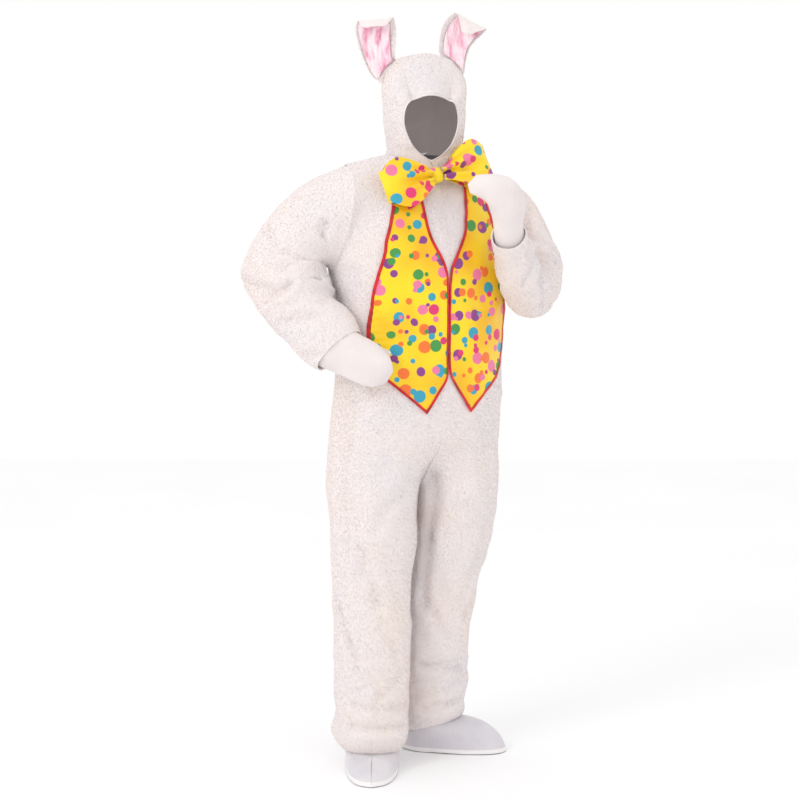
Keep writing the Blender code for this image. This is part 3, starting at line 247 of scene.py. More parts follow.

# %% [markdown]
# ## Creases and slack
# Loose plush hangs in long soft troughs with a low ridge on each side. A cloth simulation would make folds
# of its own, in other places. Each row below is one trough, set after the photograph: where it starts and
# ends along and round the limb, how deep it is and how wide. Hidden sides have similar ones. Between them
# the cloth is never flat, so a smooth random field adds a little slack.

# %% Troughs: metres along and degrees round at the start, the same at the end, depth, half width
CREASES = {
    "suit_right": (
        (0.22, 36, 0.37, 62, 0.007, 0.016),
        (0.27, 20, 0.48, 40, 0.006, 0.015),
        (0.15, 58, 0.24, 74, 0.004, 0.014),
        (0.60, 52, 0.82, 64, 0.005, 0.018),
        (0.66, 14, 0.98, 28, 0.011, 0.019),
        (0.72, 40, 1.06, 48, 0.006, 0.016),
        (0.82, 92, 0.93, 70, 0.006, 0.016),
        (0.98, 48, 1.11, 76, 0.010, 0.014),
        (1.14, 2, 1.28, 40, 0.011, 0.014),
        (1.10, 62, 1.25, 104, 0.006, 0.014),
        (1.20, 24, 1.35, 76, 0.007, 0.014),
        (1.30, 116, 1.36, 70, 0.006, 0.013),
        (1.375, 34, 1.385, 138, 0.008, 0.011),
        (1.428, 30, 1.436, 122, 0.008, 0.010),
        (0.30, -40, 0.46, -66, 0.006, 0.017),
        (0.56, -48, 0.76, -62, 0.006, 0.018),
        (0.80, -120, 0.92, -80, 0.008, 0.016),
        (0.98, -60, 1.12, -96, 0.007, 0.015),
        (1.16, -128, 1.28, -70, 0.007, 0.015),
        (1.36, -40, 1.38, -130, 0.008, 0.012),
        (0.95, 168, 1.15, 150, 0.005, 0.015),
    ),
    "suit_left": (
        (0.20, 40, 0.35, 58, 0.006, 0.016),
        (0.66, 54, 0.84, 72, 0.005, 0.018),
        (0.68, 20, 1.00, 14, 0.007, 0.017),
        (0.76, 126, 0.95, 150, 0.011, 0.016),
        (0.95, 150, 1.13, 144, 0.008, 0.015),
        (0.90, 60, 1.08, 84, 0.005, 0.016),
        (1.04, 34, 1.16, 66, 0.007, 0.015),
        (1.12, 140, 1.22, 96, 0.006, 0.015),
        (1.292, 134, 1.302, 68, 0.012, 0.011),
        (1.32, 20, 1.36, 92, 0.006, 0.012),
        (1.40, 60, 1.41, 130, 0.006, 0.011),
        (0.32, -36, 0.50, -60, 0.006, 0.017),
        (0.58, -54, 0.74, -40, 0.006, 0.018),
        (0.82, -110, 0.96, -70, 0.007, 0.016),
        (1.02, -50, 1.14, -104, 0.007, 0.015),
        (1.20, -130, 1.30, -60, 0.007, 0.014),
        (1.38, -36, 1.40, -126, 0.007, 0.012),
    ),
    "sleeve_right": (
        (0.04, 98, 0.09, 160, 0.010, 0.012),
        (0.155, 26, 0.190, 94, 0.009, 0.011),
        (0.235, 12, 0.290, 102, 0.012, 0.012),
        (0.15, 150, 0.22, 96, 0.007, 0.013),
        (0.30, 150, 0.27, 108, 0.008, 0.012),
        (0.34, 52, 0.40, 124, 0.008, 0.013),
        (0.43, 20, 0.50, 96, 0.006, 0.012),
        (0.47, 112, 0.54, 152, 0.005, 0.011),
        (0.52, 40, 0.545, 96, 0.005, 0.010),
        (0.12, -40, 0.24, -78, 0.007, 0.015),
        (0.22, -170, 0.27, -104, 0.008, 0.013),
        (0.31, -176, 0.29, -96, 0.008, 0.013),
        (0.40, -52, 0.47, -118, 0.006, 0.013),
        (0.18, 24, 0.30, 12, 0.005, 0.016),
    ),
    "sleeve_left": (
        (0.10, 130, 0.18, 78, 0.006, 0.014),
        (0.20, 178, 0.22, 104, 0.007, 0.012),
        (0.27, 184, 0.25, 108, 0.007, 0.012),
        (0.30, 30, 0.36, 86, 0.007, 0.013),
        (0.37, 22, 0.42, 92, 0.006, 0.012),
        (0.44, 60, 0.49, 120, 0.005, 0.011),
        (0.14, -30, 0.24, -70, 0.006, 0.015),
        (0.22, -168, 0.25, -100, 0.007, 0.013),
        (0.33, -60, 0.39, -124, 0.006, 0.013),
        (0.19, 40, 0.29, 28, 0.005, 0.016),
    ),
    "hood": (
        (0.055, 36, 0.075, 78, 0.003, 0.010),
        (0.040, -140, 0.065, -60, 0.004, 0.010),
        (0.075, 120, 0.082, 160, 0.003, 0.009),
        (0.150, -110, 0.165, -70, 0.003, 0.012),
    ),
}
# Slack cloth that bags out at a bend: its middle, the way and length of its push, and its half width
PUFFS = {
    "sleeve_right": (((-0.257, -0.106, -0.277), (0.031, 0.0, 0.0), 0.046),),
}
TROUGH_STEPS = 14
RIDGE_SHARE = 0.32
RIDGE_PLACE = 1.9
WAVES = 28
print("troughs:", {limb_name: len(rows) for limb_name, rows in CREASES.items()})


def ripple(points, size, seed):
    """A smooth random field of waves about this long, mostly between -1 and 1."""
    draw = np.random.default_rng(seed)
    ways = unit(draw.normal(size=(WAVES, 3)))
    lengths = size * draw.uniform(0.7, 1.5, WAVES)
    starts = draw.uniform(0, 2 * math.pi, WAVES)
    waves = np.sin(points @ (ways * (2 * math.pi / lengths)[:, None]).T + starts)
    return waves.sum(axis=1) / math.sqrt(WAVES)


def trough_depth(limb_name, points):
    """How far each point of a limb sinks in, and the way out there."""
    limb = LIMBS[limb_name]
    along, degrees, out = limb.places(points)
    share = np.linspace(0, 1, TROUGH_STEPS)
    total = np.zeros(len(points))
    for start, start_place, end, end_place, depth, width in CREASES[limb_name]:
        off_along = along[:, None] - (start + (end - start) * share)
        turn = degrees[:, None] - (start_place + (end_place - start_place) * share)
        turn = (turn + 180) % 360 - 180
        off = np.sqrt(off_along**2 + (np.radians(turn) * limb.radius) ** 2).min(axis=1) / width
        total += depth * np.exp(-(off**2))
        total -= depth * RIDGE_SHARE * np.exp(-((off - RIDGE_PLACE) ** 2))
    return total, out


# %% [markdown]
# ### Seams that stay closed
# A sleeve and the body have different middle lines, so a trough would pull their shared seam apart. The
# creases could be cut off there, but that would show as a step. So each fades out toward the seam.

# %% How freely the cloth moves near a seam with another limb
SEAM_REACH = 0.0012
SEAM_FADE = 0.055
# How the names of the nodes on each kind of limb start
LIMB_STARTS = {"suit": ("suit", "vest", "bow"), "sleeve": ("sleeve",), "hood": ("hood",)}


def tree_of(points):
    """A search tree that finds the nearest of these points quickly."""
    tree = KDTree(len(points))
    for number, point in enumerate(points):
        tree.insert(Vector(point), number)
    tree.balance()
    return tree


def seam_points(limb):
    """The points where this kind of limb is sewn to another kind."""
    own, others = [], []
    for node, solid in frame["nodes"].items():
        kept = own if node.startswith(LIMB_STARTS[limb]) else others
        kept.append(rows_of(solid.data, "co"))
    tree = tree_of(np.concatenate(others))
    return [point for point in np.concatenate(own) if tree.find(Vector(point))[2] < SEAM_REACH]


SEAM_POINTS = {limb: seam_points(limb) for limb in LIMB_STARTS}
SEAMS = {limb: tree_of(points) for limb, points in SEAM_POINTS.items()}


def seam_freedom(limb, points):
    """0 at a seam with another limb, 1 well away from it, so that creases leave the seams closed."""
    tree = SEAMS[limb.split("_")[0]]
    off = np.array([tree.find(Vector(point))[2] for point in points])
    share = np.clip(off / SEAM_FADE, 0, 1)
    return share * share * (3 - 2 * share)


print("seam points:", {limb: len(tree_points) for limb, tree_points in SEAM_POINTS.items()})

# %% Slack and creases together
PLUSH_SLACK = (0.0016, 0.0008)
HOOD_SLACK = (0.0010, 0.0005)
KNIT_SLACK = (0.0007, 0.0006)
BROAD_WAVE = 0.110
FINE_WAVE = 0.042


def slack(points, heights):
    """How far each point rises or sinks in the cloth's broad and fine waves."""
    broad, fine = heights
    return broad * ripple(points, BROAD_WAVE, SEED) + fine * ripple(points, FINE_WAVE, SEED + 1)


def with_creases(limb_name, points, heights=PLUSH_SLACK):
    """Points of a limb's cloth with its troughs and slack."""
    sunk, out = trough_depth(limb_name, points)
    freedom = seam_freedom(limb_name, points)
    moved = points + out * ((slack(points, heights) - sunk) * freedom)[:, None]
    for middle, push, width in PUFFS.get(limb_name, ()):
        off = np.linalg.norm(points - middle, axis=1) / width
        moved += np.array(push) * (np.exp(-(off**2)) * freedom)[:, None]
    return moved


def creased(limb_name, heights=PLUSH_SLACK):
    """A way to shape a piece: with the troughs and the slack of one limb."""
    return lambda piece: with_creases(limb_name, points_of(piece), heights)


print("slack of the plush:", PLUSH_SLACK, "the hood:", HOOD_SLACK, "the knit:", KNIT_SLACK)


# %% [markdown]
# ## Finishes
# The costume's cloths are plush, knit and satin, and each scatters light in its own way. A finish could be
# painted as an image on an unwrapped piece. Here every finish is a Principled shader, with its pattern
# worked out from the piece's own coordinates, which needs no unwrapping and stays sharp from close by. The
# weave and the nap are fine bumps. The sheen that plush and satin show at a glancing angle is set on the
# shader's own sockets.

# %% Helpers for node materials


def linear(red, green, blue):
    """A screen colour, from 0 to 255, as a shader wants it."""
    return tuple((value / 255) ** 2.2 for value in (red, green, blue)) + (1.0,)


class Finish:
    """A material's node tree with a few short ways to add to it."""

    def __init__(self, name, colour, roughness, **sockets):
        self.material = bpy.data.materials.new(name)
        self.material.use_nodes = True
        self.tree = self.material.node_tree
        self.shader = self.tree.nodes["Principled BSDF"]
        self.shader.inputs["Base Color"].default_value = colour
        self.shader.inputs["Roughness"].default_value = roughness
        for socket, value in sockets.items():
            self.shader.inputs[socket.replace("_", " ")].default_value = value
        self.place = self.node("ShaderNodeTexCoord").outputs["Object"]
        self.bump = None

    def node(self, kind, links=(), **values):
        """A node of this kind, with its inputs linked and its settings or inputs filled in."""
        made = self.tree.nodes.new(kind)
        for key, value in values.items():
            if hasattr(made, key):
                setattr(made, key, value)
            else:
                made.inputs[key.replace("_", " ")].default_value = value
        for socket, source in dict(links).items():
            self.tree.links.new(source, made.inputs[socket])
        return made

    def maths(self, operation, first, second=None):
        """One step of arithmetic on two values; each is a number or an output."""
        made = self.node("ShaderNodeMath", operation=operation)
        for socket, value in zip(made.inputs, (first, second)):
            if isinstance(value, (int, float)):
                socket.default_value = value
            elif value is not None:
                self.tree.links.new(value, socket)
        return made.outputs[0]

    def stretched(self, scale, turn=(0, 0, 0), source=None):
        """Coordinates scaled and turned; a small scale draws a pattern out that way."""
        made = self.node("ShaderNodeMapping", {"Vector": source or self.place})
        made.inputs["Scale"].default_value = scale
        made.inputs["Rotation"].default_value = turn
        return made.outputs["Vector"]

    def noise(self, size, detail=2.0, source=None):
        """Clouds about this many metres wide."""
        made = self.node("ShaderNodeTexNoise", {"Vector": source or self.place})
        made.inputs["Scale"].default_value = 1 / size
        made.inputs["Detail"].default_value = detail
        return made.outputs["Fac"]

    def mixed(self, share, first, second):
        """Two colours mixed by a share; each is a colour or an output."""
        made = self.node("ShaderNodeMix", data_type="RGBA")
        for socket, value in ((made.inputs[0], share), (made.inputs[6], first), (made.inputs[7], second)):
            if isinstance(value, (tuple, float, int)):
                socket.default_value = value
            else:
                self.tree.links.new(value, socket)
        return made.outputs[2]

    def ramp(self, source, stops, constant=False):
        """A value from 0 to 1 turned into colours, each with the place where it starts or peaks."""
        made = self.node("ShaderNodeValToRGB", {"Fac": source})
        made.color_ramp.interpolation = "CONSTANT" if constant else "LINEAR"
        while len(made.color_ramp.elements) < len(stops):
            made.color_ramp.elements.new(1.0)
        for element, (at, colour) in zip(made.color_ramp.elements, stops):
            element.position = at
            element.color = colour
        return made.outputs["Color"]

    def add_bump(self, height, distance, strength=1.0):
        """Bumps this many metres high, added to those before them."""
        made = self.node("ShaderNodeBump", {"Height": height})
        made.inputs["Distance"].default_value = distance
        made.inputs["Strength"].default_value = strength
        if self.bump:
            self.tree.links.new(self.bump, made.inputs["Normal"])
        self.bump = made.outputs["Normal"]
        self.tree.links.new(self.bump, self.shader.inputs["Normal"])

    def colour_from(self, source):
        self.tree.links.new(source, self.shader.inputs["Base Color"])

    def done(self):
        """The finished material, with a line of print on what it took."""
        print(f"{self.material.name}: {len(self.tree.nodes)} shader nodes")
        return self.material


# %% [markdown]
# The plush is a white pile on a woven back, with the faintest warm and cool clouds where the nap has been
# brushed different ways. A picture of fur would look flat at the edge, so the pile is real geometry further
# down. This finish only gives the clouds and a fine grain, and the backing and the tufts share it.

# %% White plush
PLUSH_LIGHT = linear(238, 229, 227)
PLUSH_WARM = linear(238, 226, 221)
PLUSH_COOL = linear(233, 226, 228)
PLUSH_CLOUDS = ((0.34, PLUSH_COOL), (0.52, PLUSH_LIGHT), (0.70, PLUSH_WARM))
SHEEN_TINT = (1.0, 0.97, 0.96, 1.0)


def white_plush():
    finish = Finish("white_plush", PLUSH_LIGHT, 0.88, Sheen_Weight=0.55, Sheen_Roughness=0.45)
    finish.shader.inputs["Sheen Tint"].default_value = SHEEN_TINT
    clouds = finish.ramp(finish.noise(0.16, 3.0), PLUSH_CLOUDS)
    brushed = finish.noise(0.022, 4.0)
    finish.colour_from(finish.mixed(finish.maths("MULTIPLY", brushed, 0.30), clouds, PLUSH_WARM))
    finish.add_bump(finish.noise(0.014, 3.0), 0.0020, 0.4)
    finish.add_bump(finish.noise(0.0022, 2.0), 0.0006, 0.6)
    return finish.done()


WHITE_PLUSH = white_plush()

# %% [markdown]
# The mitts and shoe covers are a flat jersey knit, so their surface is plain but for soft ribs. Modelled
# stitches would be too small to see, so a wave texture bumps the ribs. One function makes both: the covers
# are the same white knit as the mitts, painted darker and cooler as painted shade, with a paler hem along
# the sole, which is coloured by its height.

# %% White knit
MITT_LIGHT = linear(236, 227, 225)
MITT_SHADE = linear(227, 217, 216)
# The covers' whites are painted shade: darker, cooler copies of the mitts' white knit
SHADED_COVER_LIGHT = linear(222, 217, 220)
SHADED_COVER_DEEP = linear(208, 204, 210)
HEM_WHITE = linear(240, 236, 236)
HEM_HEIGHT = 0.011
RIB_SPACING = 0.010053
# How far apart the bands of a wave texture are at a scale of 1
BAND_SPACING = 2 * math.pi / 20


def white_knit(name, light, shade, hem=False):
    finish = Finish(name, light, 0.74, Sheen_Weight=0.25, Sheen_Roughness=0.5)
    colour = finish.ramp(finish.noise(0.09, 3.0), ((0.35, shade), (0.62, light)))
    if hem:
        height = finish.node("ShaderNodeSeparateXYZ", {"Vector": finish.place}).outputs["Z"]
        low = finish.maths("LESS_THAN", height, cad_box[0][2] + HEM_HEIGHT)
        colour = finish.mixed(low, colour, HEM_WHITE)
    finish.colour_from(colour)
    ribs = finish.node("ShaderNodeTexWave", {"Vector": finish.place}, bands_direction="X")
    ribs.inputs["Scale"].default_value = BAND_SPACING / RIB_SPACING
    ribs.inputs["Distortion"].default_value = 0.6
    finish.add_bump(finish.noise(0.010, 3.0), 0.0010, 0.5)
    finish.add_bump(ribs.outputs["Fac"], 0.0003, 0.6)
    return finish.done()


WHITE_KNIT = white_knit("white_knit", MITT_LIGHT, MITT_SHADE)
SHADED_COVER_KNIT = white_knit("cover_knit", SHADED_COVER_LIGHT, SHADED_COVER_DEEP, True)

# %% [markdown]
# The ear linings are pale pink satin. One noise, drawn out along the ear, drives both the colour and the
# bump, so each dip is painted deep pink as painted shade and each ridge near white as a painted highlight.

# %% Pink satin
# A near-white painted highlight for the wrinkles' ridges, and deep pink painted shade for their dips
PINK_PAINTED_HIGHLIGHT = linear(253, 232, 238)
PINK_MIDDLE = linear(247, 196, 212)
PINK_PAINTED_SHADE = linear(226, 128, 164)
PINK_SHADE_AND_HIGHLIGHT = ((0.34, PINK_PAINTED_SHADE), (0.44, PINK_MIDDLE), (0.56, PINK_PAINTED_HIGHLIGHT))


def pink_satin():
    finish = Finish("pink_satin", PINK_MIDDLE, 0.34, Sheen_Weight=0.2)
    wrinkles_and_shade = finish.noise(0.017, 4.0, finish.stretched((1.0, 1.0, 0.30)))
    # The colour follows the bump: painted shade in each dip, a painted highlight on each ridge
    finish.colour_from(finish.ramp(wrinkles_and_shade, PINK_SHADE_AND_HIGHLIGHT))
    finish.add_bump(wrinkles_and_shade, 0.0045, 0.9)
    finish.add_bump(finish.noise(0.0009, 1.0), 0.0002, 0.4)
    return finish.done()


PINK_SATIN = pink_satin()

# %% [markdown]
# The vest and bow are yellow satin, printed with round dots of three sizes that sometimes overlap. The dots
# could be an image, but a Voronoi texture draws them from a few numbers. Each size is one layer: a point in
# every cell, a disc round each point, and a colour for each cell. The layers lie flat on the body's front,
# and the layout is this script's own.

# %% Dotted satin
YELLOW = linear(255, 220, 22)
# The satin's yellow as it looks in shade, used as painted shade
YELLOW_IN_SHADE = linear(248, 186, 8)
PURPLE = linear(138, 62, 138)
MAGENTA = linear(226, 52, 112)
ORANGE = linear(248, 118, 44)
GREEN = linear(70, 150, 70)
TEAL = linear(52, 160, 186)
PINK_DOT = linear(238, 120, 160)
DOT_COLOURS = (PURPLE, MAGENTA, ORANGE, GREEN, TEAL, PURPLE, PINK_DOT, ORANGE)
# For each size of dot: the cells' spacing, the dot's radius, the share of cells with none, and a shift
DOTS = (
    (0.050, 0.0146, 0.10, (0.013, 0.031)),
    (0.046, 0.0098, 0.22, (0.171, 0.072)),
    (0.036, 0.0062, 0.42, (0.087, 0.139)),
)
# The bow's own slope against the body, and a shift that gives it other dots than the vest
BOW_RISE = math.radians(14)
BOW_SHIFT = 0.37
DOT_EDGE = 0.03
DOT_STRAY = 0.78
# A dot's size against the radius in its row: at least the first, at most both together
DOT_LEAST = 0.8
DOT_SPREAD = 0.3
YELLOW_SHADE_CLOUDS = ((0.36, YELLOW_IN_SHADE), (0.56, YELLOW))


def dotted_satin(name, tilt, shift):
    """Satin whose pattern is turned by tilt in the plane of the body's front, and moved by shift."""
    finish = Finish(name, YELLOW, 0.36, Sheen_Weight=0.15, Specular_IOR_Level=0.5)
    turned = finish.stretched((1, 1, 1), (0, 0, -BODY_TURN))
    parts = finish.node("ShaderNodeSeparateXYZ", {"Vector": turned}).outputs
    flat = finish.node("ShaderNodeCombineXYZ", {"X": parts["X"], "Y": parts["Z"]}).outputs[0]
    flat = finish.stretched((1, 1, 1), (0, 0, -tilt), flat)
    # Broad random clouds of painted shade over the lit yellow, under the printed dots
    colour = finish.ramp(finish.noise(0.20, 2.0), YELLOW_SHADE_CLOUDS)
    for spacing, radius, bare, (right, up) in DOTS:
        moved = finish.node("ShaderNodeMapping", {"Vector": flat})
        moved.inputs["Location"].default_value = ((right + shift) / spacing, (up - shift) / spacing, 0)
        moved.inputs["Scale"].default_value = (1 / spacing, 1 / spacing, 1)
        cells = finish.node("ShaderNodeTexVoronoi", {"Vector": moved.outputs[0]}, voronoi_dimensions="2D")
        cells.inputs["Scale"].default_value = 1.0
        cells.inputs["Randomness"].default_value = DOT_STRAY
        draws = finish.node("ShaderNodeSeparateColor", {"Color": cells.outputs["Color"]})
        growth = finish.maths("MULTIPLY", draws.outputs[2], DOT_SPREAD)
        growth = finish.maths("ADD", growth, DOT_LEAST)
        size = finish.maths("MULTIPLY", growth, radius / spacing)
        inside = finish.maths("SUBTRACT", size, cells.outputs["Distance"])
        inside = finish.maths("MULTIPLY", inside, 1 / DOT_EDGE)
        inside = finish.maths("MINIMUM", finish.maths("MAXIMUM", inside, 0.0), 1.0)
        shown = finish.maths("GREATER_THAN", draws.outputs[1], bare)
        stops = [(number / len(DOT_COLOURS), dot) for number, dot in enumerate(DOT_COLOURS)]
        dots = finish.ramp(draws.outputs[0], stops, constant=True)
        colour = finish.mixed(finish.maths("MULTIPLY", inside, shown), colour, dots)
    finish.colour_from(colour)
    finish.add_bump(finish.noise(0.030, 2.0, finish.stretched((1.0, 1.0, 0.5))), 0.0030, 0.35)
    finish.add_bump(finish.noise(0.0008, 1.0), 0.0002, 0.4)
    return finish.done()


VEST_SATIN = dotted_satin("vest_satin", 0.0, 0.0)
BOW_SATIN = dotted_satin("bow_satin", BOW_RISE, BOW_SHIFT)

# %% [markdown]
# The binding is a red satin strip folded over the vest's edge. Its rounded form is in the wall already, so
# the finish only adds darker clouds and the fine grain of its weave.

# %% Red binding
RED = linear(216, 26, 34)
RED_DEEP = linear(168, 10, 20)


def red_binding():
    finish = Finish("red_binding", RED, 0.42, Sheen_Weight=0.2)
    finish.colour_from(finish.ramp(finish.noise(0.03, 3.0), ((0.35, RED_DEEP), (0.6, RED))))
    finish.add_bump(finish.noise(0.0011, 1.0), 0.0004, 0.7)
    return finish.done()


RED_BINDING = red_binding()
FINISHES = {
    "white_plush": WHITE_PLUSH,
    "white_knit": WHITE_KNIT,
    "pink_satin": PINK_SATIN,
    "dot_satin": VEST_SATIN,
    "red_binding": RED_BINDING,
}
SLOTS = {part["node"]: part["material_slot"] for part in frame["record"]["subparts"]}
print("finishes by slot:", ", ".join(FINISHES))

# %% [markdown]
# ## Dressing each piece
# A dressed piece is the smooth wall with its creases and the finish of its slot, kept under the name of its
# node.


# %% Dress one piece
LEVELS = 2
FINE_LEVELS = 3
pieces = {}


def dress(node, levels, shape=None, finish=None, sharp=SHARP):
    """A dressed piece for a node. shape turns its points into creased ones."""
    piece = smooth_wall(node, f"{node}_cloth", levels, sharp)
    if shape:
        move_to(piece, shape(piece))
    piece.data.materials.clear()
    piece.data.materials.append(finish or FINISHES[SLOTS[node]])
    pieces[node] = piece


def tell(*starts):
    """Print how many faces the pieces have whose names start in one of these ways."""
    print({node: len(piece.data.polygons) for node, piece in pieces.items() if node.startswith(starts)})


# %% [markdown]
# ### The suit, the sleeves and the hood
# The suit is four long panels, from shoulder to ankle, with a sleeve on each side and a hood in three parts
# round the head. One mesh for it all would be simpler, but a maker cuts and sews panels, so each stays its
# own piece. The panels of a side share the creases of one body and leg, so a trough runs on over a seam.

# %% Suit, sleeves and hood
for side_name in SIDES:
    for face in ("front", "back"):
        dress(f"suit_{face}_{side_name}", LEVELS, creased(f"suit_{side_name}"))
    dress(f"sleeve_{side_name}", LEVELS, creased(f"sleeve_{side_name}"))
for node in ("hood_side_right", "hood_side_left", "hood_centre", "hood_face_binding"):
    dress(node, LEVELS, creased("hood", HOOD_SLACK))
tell("suit", "sleeve", "hood")

# %% [markdown]
# ### The ears
# Each ear is a plush back with a pink satin lining. The linings are too big for their ears and are caught
# in lengthways wrinkles. A cloth simulation could shrink them into folds of its own. Here a random field is
# drawn out along the ear and folded up at zero with abs. So the wrinkles are sharp below and only rise: they
# stand up from the plush and never sink into it.

# %% Ears
EAR_SHARP = math.radians(80)
WRINKLE_STRETCH = np.array([1.0, 0.6, 0.24])
WRINKLE_SIZE = 0.016
WRINKLE_HEIGHT = 0.0030
BROAD_WRINKLES = 0.8
FINE_WRINKLES = 0.4
EAR_FRONT = np.array([0.0, -1.0, 0.0])


def wrinkled(piece):
    """The lining's points, pushed to the ear's front in narrow wrinkles along it."""
    points = points_of(piece)
    field = np.abs(ripple(points * WRINKLE_STRETCH, WRINKLE_SIZE, SEED + 2))
    fine = np.abs(ripple(points * WRINKLE_STRETCH, WRINKLE_SIZE / 2, SEED + 3))
    rise = WRINKLE_HEIGHT * (BROAD_WRINKLES * field + FINE_WRINKLES * fine)
    return points + EAR_FRONT * rise[:, None]


for side_name in SIDES:
    dress(f"ear_{side_name}_back", LEVELS, sharp=EAR_SHARP)
    dress(f"ear_{side_name}_lining", FINE_LEVELS, wrinkled, sharp=EAR_SHARP)
tell("ear")

# %% [markdown]
# ### Mitts and shoe covers
# Each mitt is a back, a palm and a thumb, and each shoe cover is an outer and an inner side. The knit is
# thin and close, so troughs would be wrong here: it only gets shallow slack, away from its own middle.

# %% Mitts and shoe covers


def slackened(piece):
    """The piece's points with shallow slack, along the piece's own way out."""
    points = points_of(piece)
    middle = points.mean(axis=0)
    return points + unit(points - middle) * slack(points, KNIT_SLACK)[:, None]


for side_name in SIDES:
    for part in ("back", "palm", "thumb"):
        dress(f"mitt_{side_name}_{part}", LEVELS, slackened)
    for part in ("outer", "inner"):
        dress(f"shoe_cover_{side_name}_{part}", LEVELS, slackened, SHADED_COVER_KNIT)
tell("mitt", "shoe")

# %% [markdown]
# ### The vest
# Each vest front is sewn flat onto its suit front, with a red binding round it. It could be draped on by a
# simulation or by a Shrinkwrap modifier. It is enough to give it the same creases and slack as the plush
# below it, because both walls then move together and neither comes through the other.

# %% Vest
for side_name in SIDES:
    for part in ("front", "binding"):
        dress(f"vest_{part}_{side_name}", FINE_LEVELS, creased(f"suit_{side_name}"))
tell("vest")

# %% [markdown]
# ### The bow
# Each loop is a band of satin, gathered at the knot into pleats that fan out and fade toward its end. A
# simulation could gather it, but a pleat's place would be left to chance. Here each pleat is a row with its
# place across the loop. The loops' ends are drawn into the knot, which is a little larger than its solid.

# %% Bow
BOW_TILT = math.radians(17)
BOW_ALONG = unit(ACROSS * math.cos(BOW_RISE) + UP * math.sin(BOW_RISE))
BOW_UP = unit(UP * math.cos(BOW_RISE) - ACROSS * math.sin(BOW_RISE))
BOW_UP = BOW_UP * math.cos(BOW_TILT) - FORWARD * math.sin(BOW_TILT)
BOW_OUT = FORWARD * math.cos(BOW_TILT) + UP * math.sin(BOW_TILT)
LOOP_LENGTH = 0.130
# Half the loop's height at a few distances from the knot's middle
LOOP_AWAY = (0.0, 0.045, 0.09, 0.15)
LOOP_HALF_HEIGHTS = (0.016, 0.040, 0.064, 0.076)
# Pleats: the place across the loop as a share of its half height, the depth, and the width as a share too
PLEATS = ((-0.66, 0.007, 0.15), (-0.10, 0.021, 0.15), (0.42, 0.010, 0.15), (0.78, 0.006, 0.13))
PLEAT_START = 0.02
PLEAT_END = LOOP_LENGTH * 1.05
PLEAT_RIDGE = 0.5
CORNER_START = 0.088
CORNER_MOST = 1.2
CORNER_HEIGHT = 0.07
CORNER_PULL = 0.30
KNOT_REACH = 0.040
KNOT_PULL = 0.010
KNOT_GROWTH = np.array([1.12, 1.02, 1.00])
BOW_WAVE = 0.07
BOW_SLACK = 0.0018


def pleated(piece):
    """A loop's points with its corners drawn in, its end pulled into the knot, and its pleats."""
    points = points_of(piece)
    knot_low, knot_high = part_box("bow_knot")
    knot = np.array((knot_low + knot_high) / 2)
    beside = (points - knot) @ BOW_ALONG
    away = np.abs(beside)
    height = (points - knot) @ BOW_UP
    corner = np.clip((away - CORNER_START) / (LOOP_LENGTH - CORNER_START), 0, CORNER_MOST) ** 2
    points = points - BOW_UP * (height * np.abs(height) / CORNER_HEIGHT * corner * CORNER_PULL)[:, None]
    gather = np.clip(1 - away / KNOT_REACH, 0, 1) ** 2
    points = points - BOW_ALONG * (np.sign(beside) * gather * KNOT_PULL)[:, None]
    half = np.interp(away, LOOP_AWAY, LOOP_HALF_HEIGHTS)
    fade = np.clip(1 - away / PLEAT_END, 0, 1) * np.clip(away / PLEAT_START, 0, 1)
    rise = np.zeros(len(points))
    for place, depth, width in PLEATS:
        rise -= depth * np.exp(-(((height / half - place) / width) ** 2))
        rise += depth * PLEAT_RIDGE * np.exp(-(((height / half - place) / width - RIDGE_PLACE) ** 2))
    rise = rise * fade + BOW_SLACK * ripple(points, BOW_WAVE, SEED + 4)
    return points + BOW_OUT * rise[:, None]


def fuller(piece):
    """The knot, a little larger, so that it grips both loops."""
    points = points_of(piece)
    middle = points.mean(axis=0)
    return middle + (points - middle) * KNOT_GROWTH


for side_name in SIDES:
    dress(f"bow_loop_{side_name}", FINE_LEVELS, pleated, BOW_SATIN)
dress("bow_knot", LEVELS, fuller, BOW_SATIN)
tell("bow")

# %% [markdown]
# ## The pile
# Plush has a short pile, brushed down. Hair curves could make it, but they would have to be turned into
# meshes, and fine ones weigh too much. Geometry Nodes scatter small three-sided tufts instead, over the
# outside of each plush piece. A value on each point, 1 outside and 0 on the backing or under the vest or an
# ear's lining, says where they grow.

# %% Where the pile grows
# No tuft grows this near to what lies on the plush
COVER_REACH = 0.0085
LINING_REACH = 0.0046
# A face is outside when its way and the limb's way out agree by more than this, from -1 to 1
OUTWARD = -0.35
PLUSH_NODES = [node for node, slot in SLOTS.items() if slot == "white_plush"]


def outside(node, points, normals):
    """1 where a wall's face looks away from what it wraps, else 0."""
    if node.startswith("ear"):
        return np.ones(len(points))
    side_name = node.rsplit("_", 1)[1]
    limb = "hood" if node.startswith("hood") else f"{node.split('_')[0]}_{side_name}"
    _, _, out = LIMBS[limb].places(points)
    return ((normals * out).sum(axis=1) > OUTWARD).astype(float)


def mark_pile(node):
    """Write the pile's value onto a piece's points, and give back the share of them that it covers."""
    piece = pieces[node]
    points = points_of(piece)
    grown = outside(node, points, rows_of(piece.data, "normal"))
    covers, reach = [], COVER_REACH
    if node.startswith("suit_front"):
        covers = [other for other in SLOTS if other.startswith(("vest", "bow"))]
    if node.startswith("ear"):
        covers, reach = [node.replace("back", "lining")], LINING_REACH
    if covers:
        tree = tree_of(np.concatenate([points_of(pieces[cover]) for cover in covers]))
        for number in np.flatnonzero(grown):
            if tree.find(Vector(points[number]))[2] < reach:
                grown[number] = 0.0
    value = piece.data.attributes.new("pile", "FLOAT", "POINT")
    value.data.foreach_set("value", grown.astype(np.float32))
    return grown.mean()


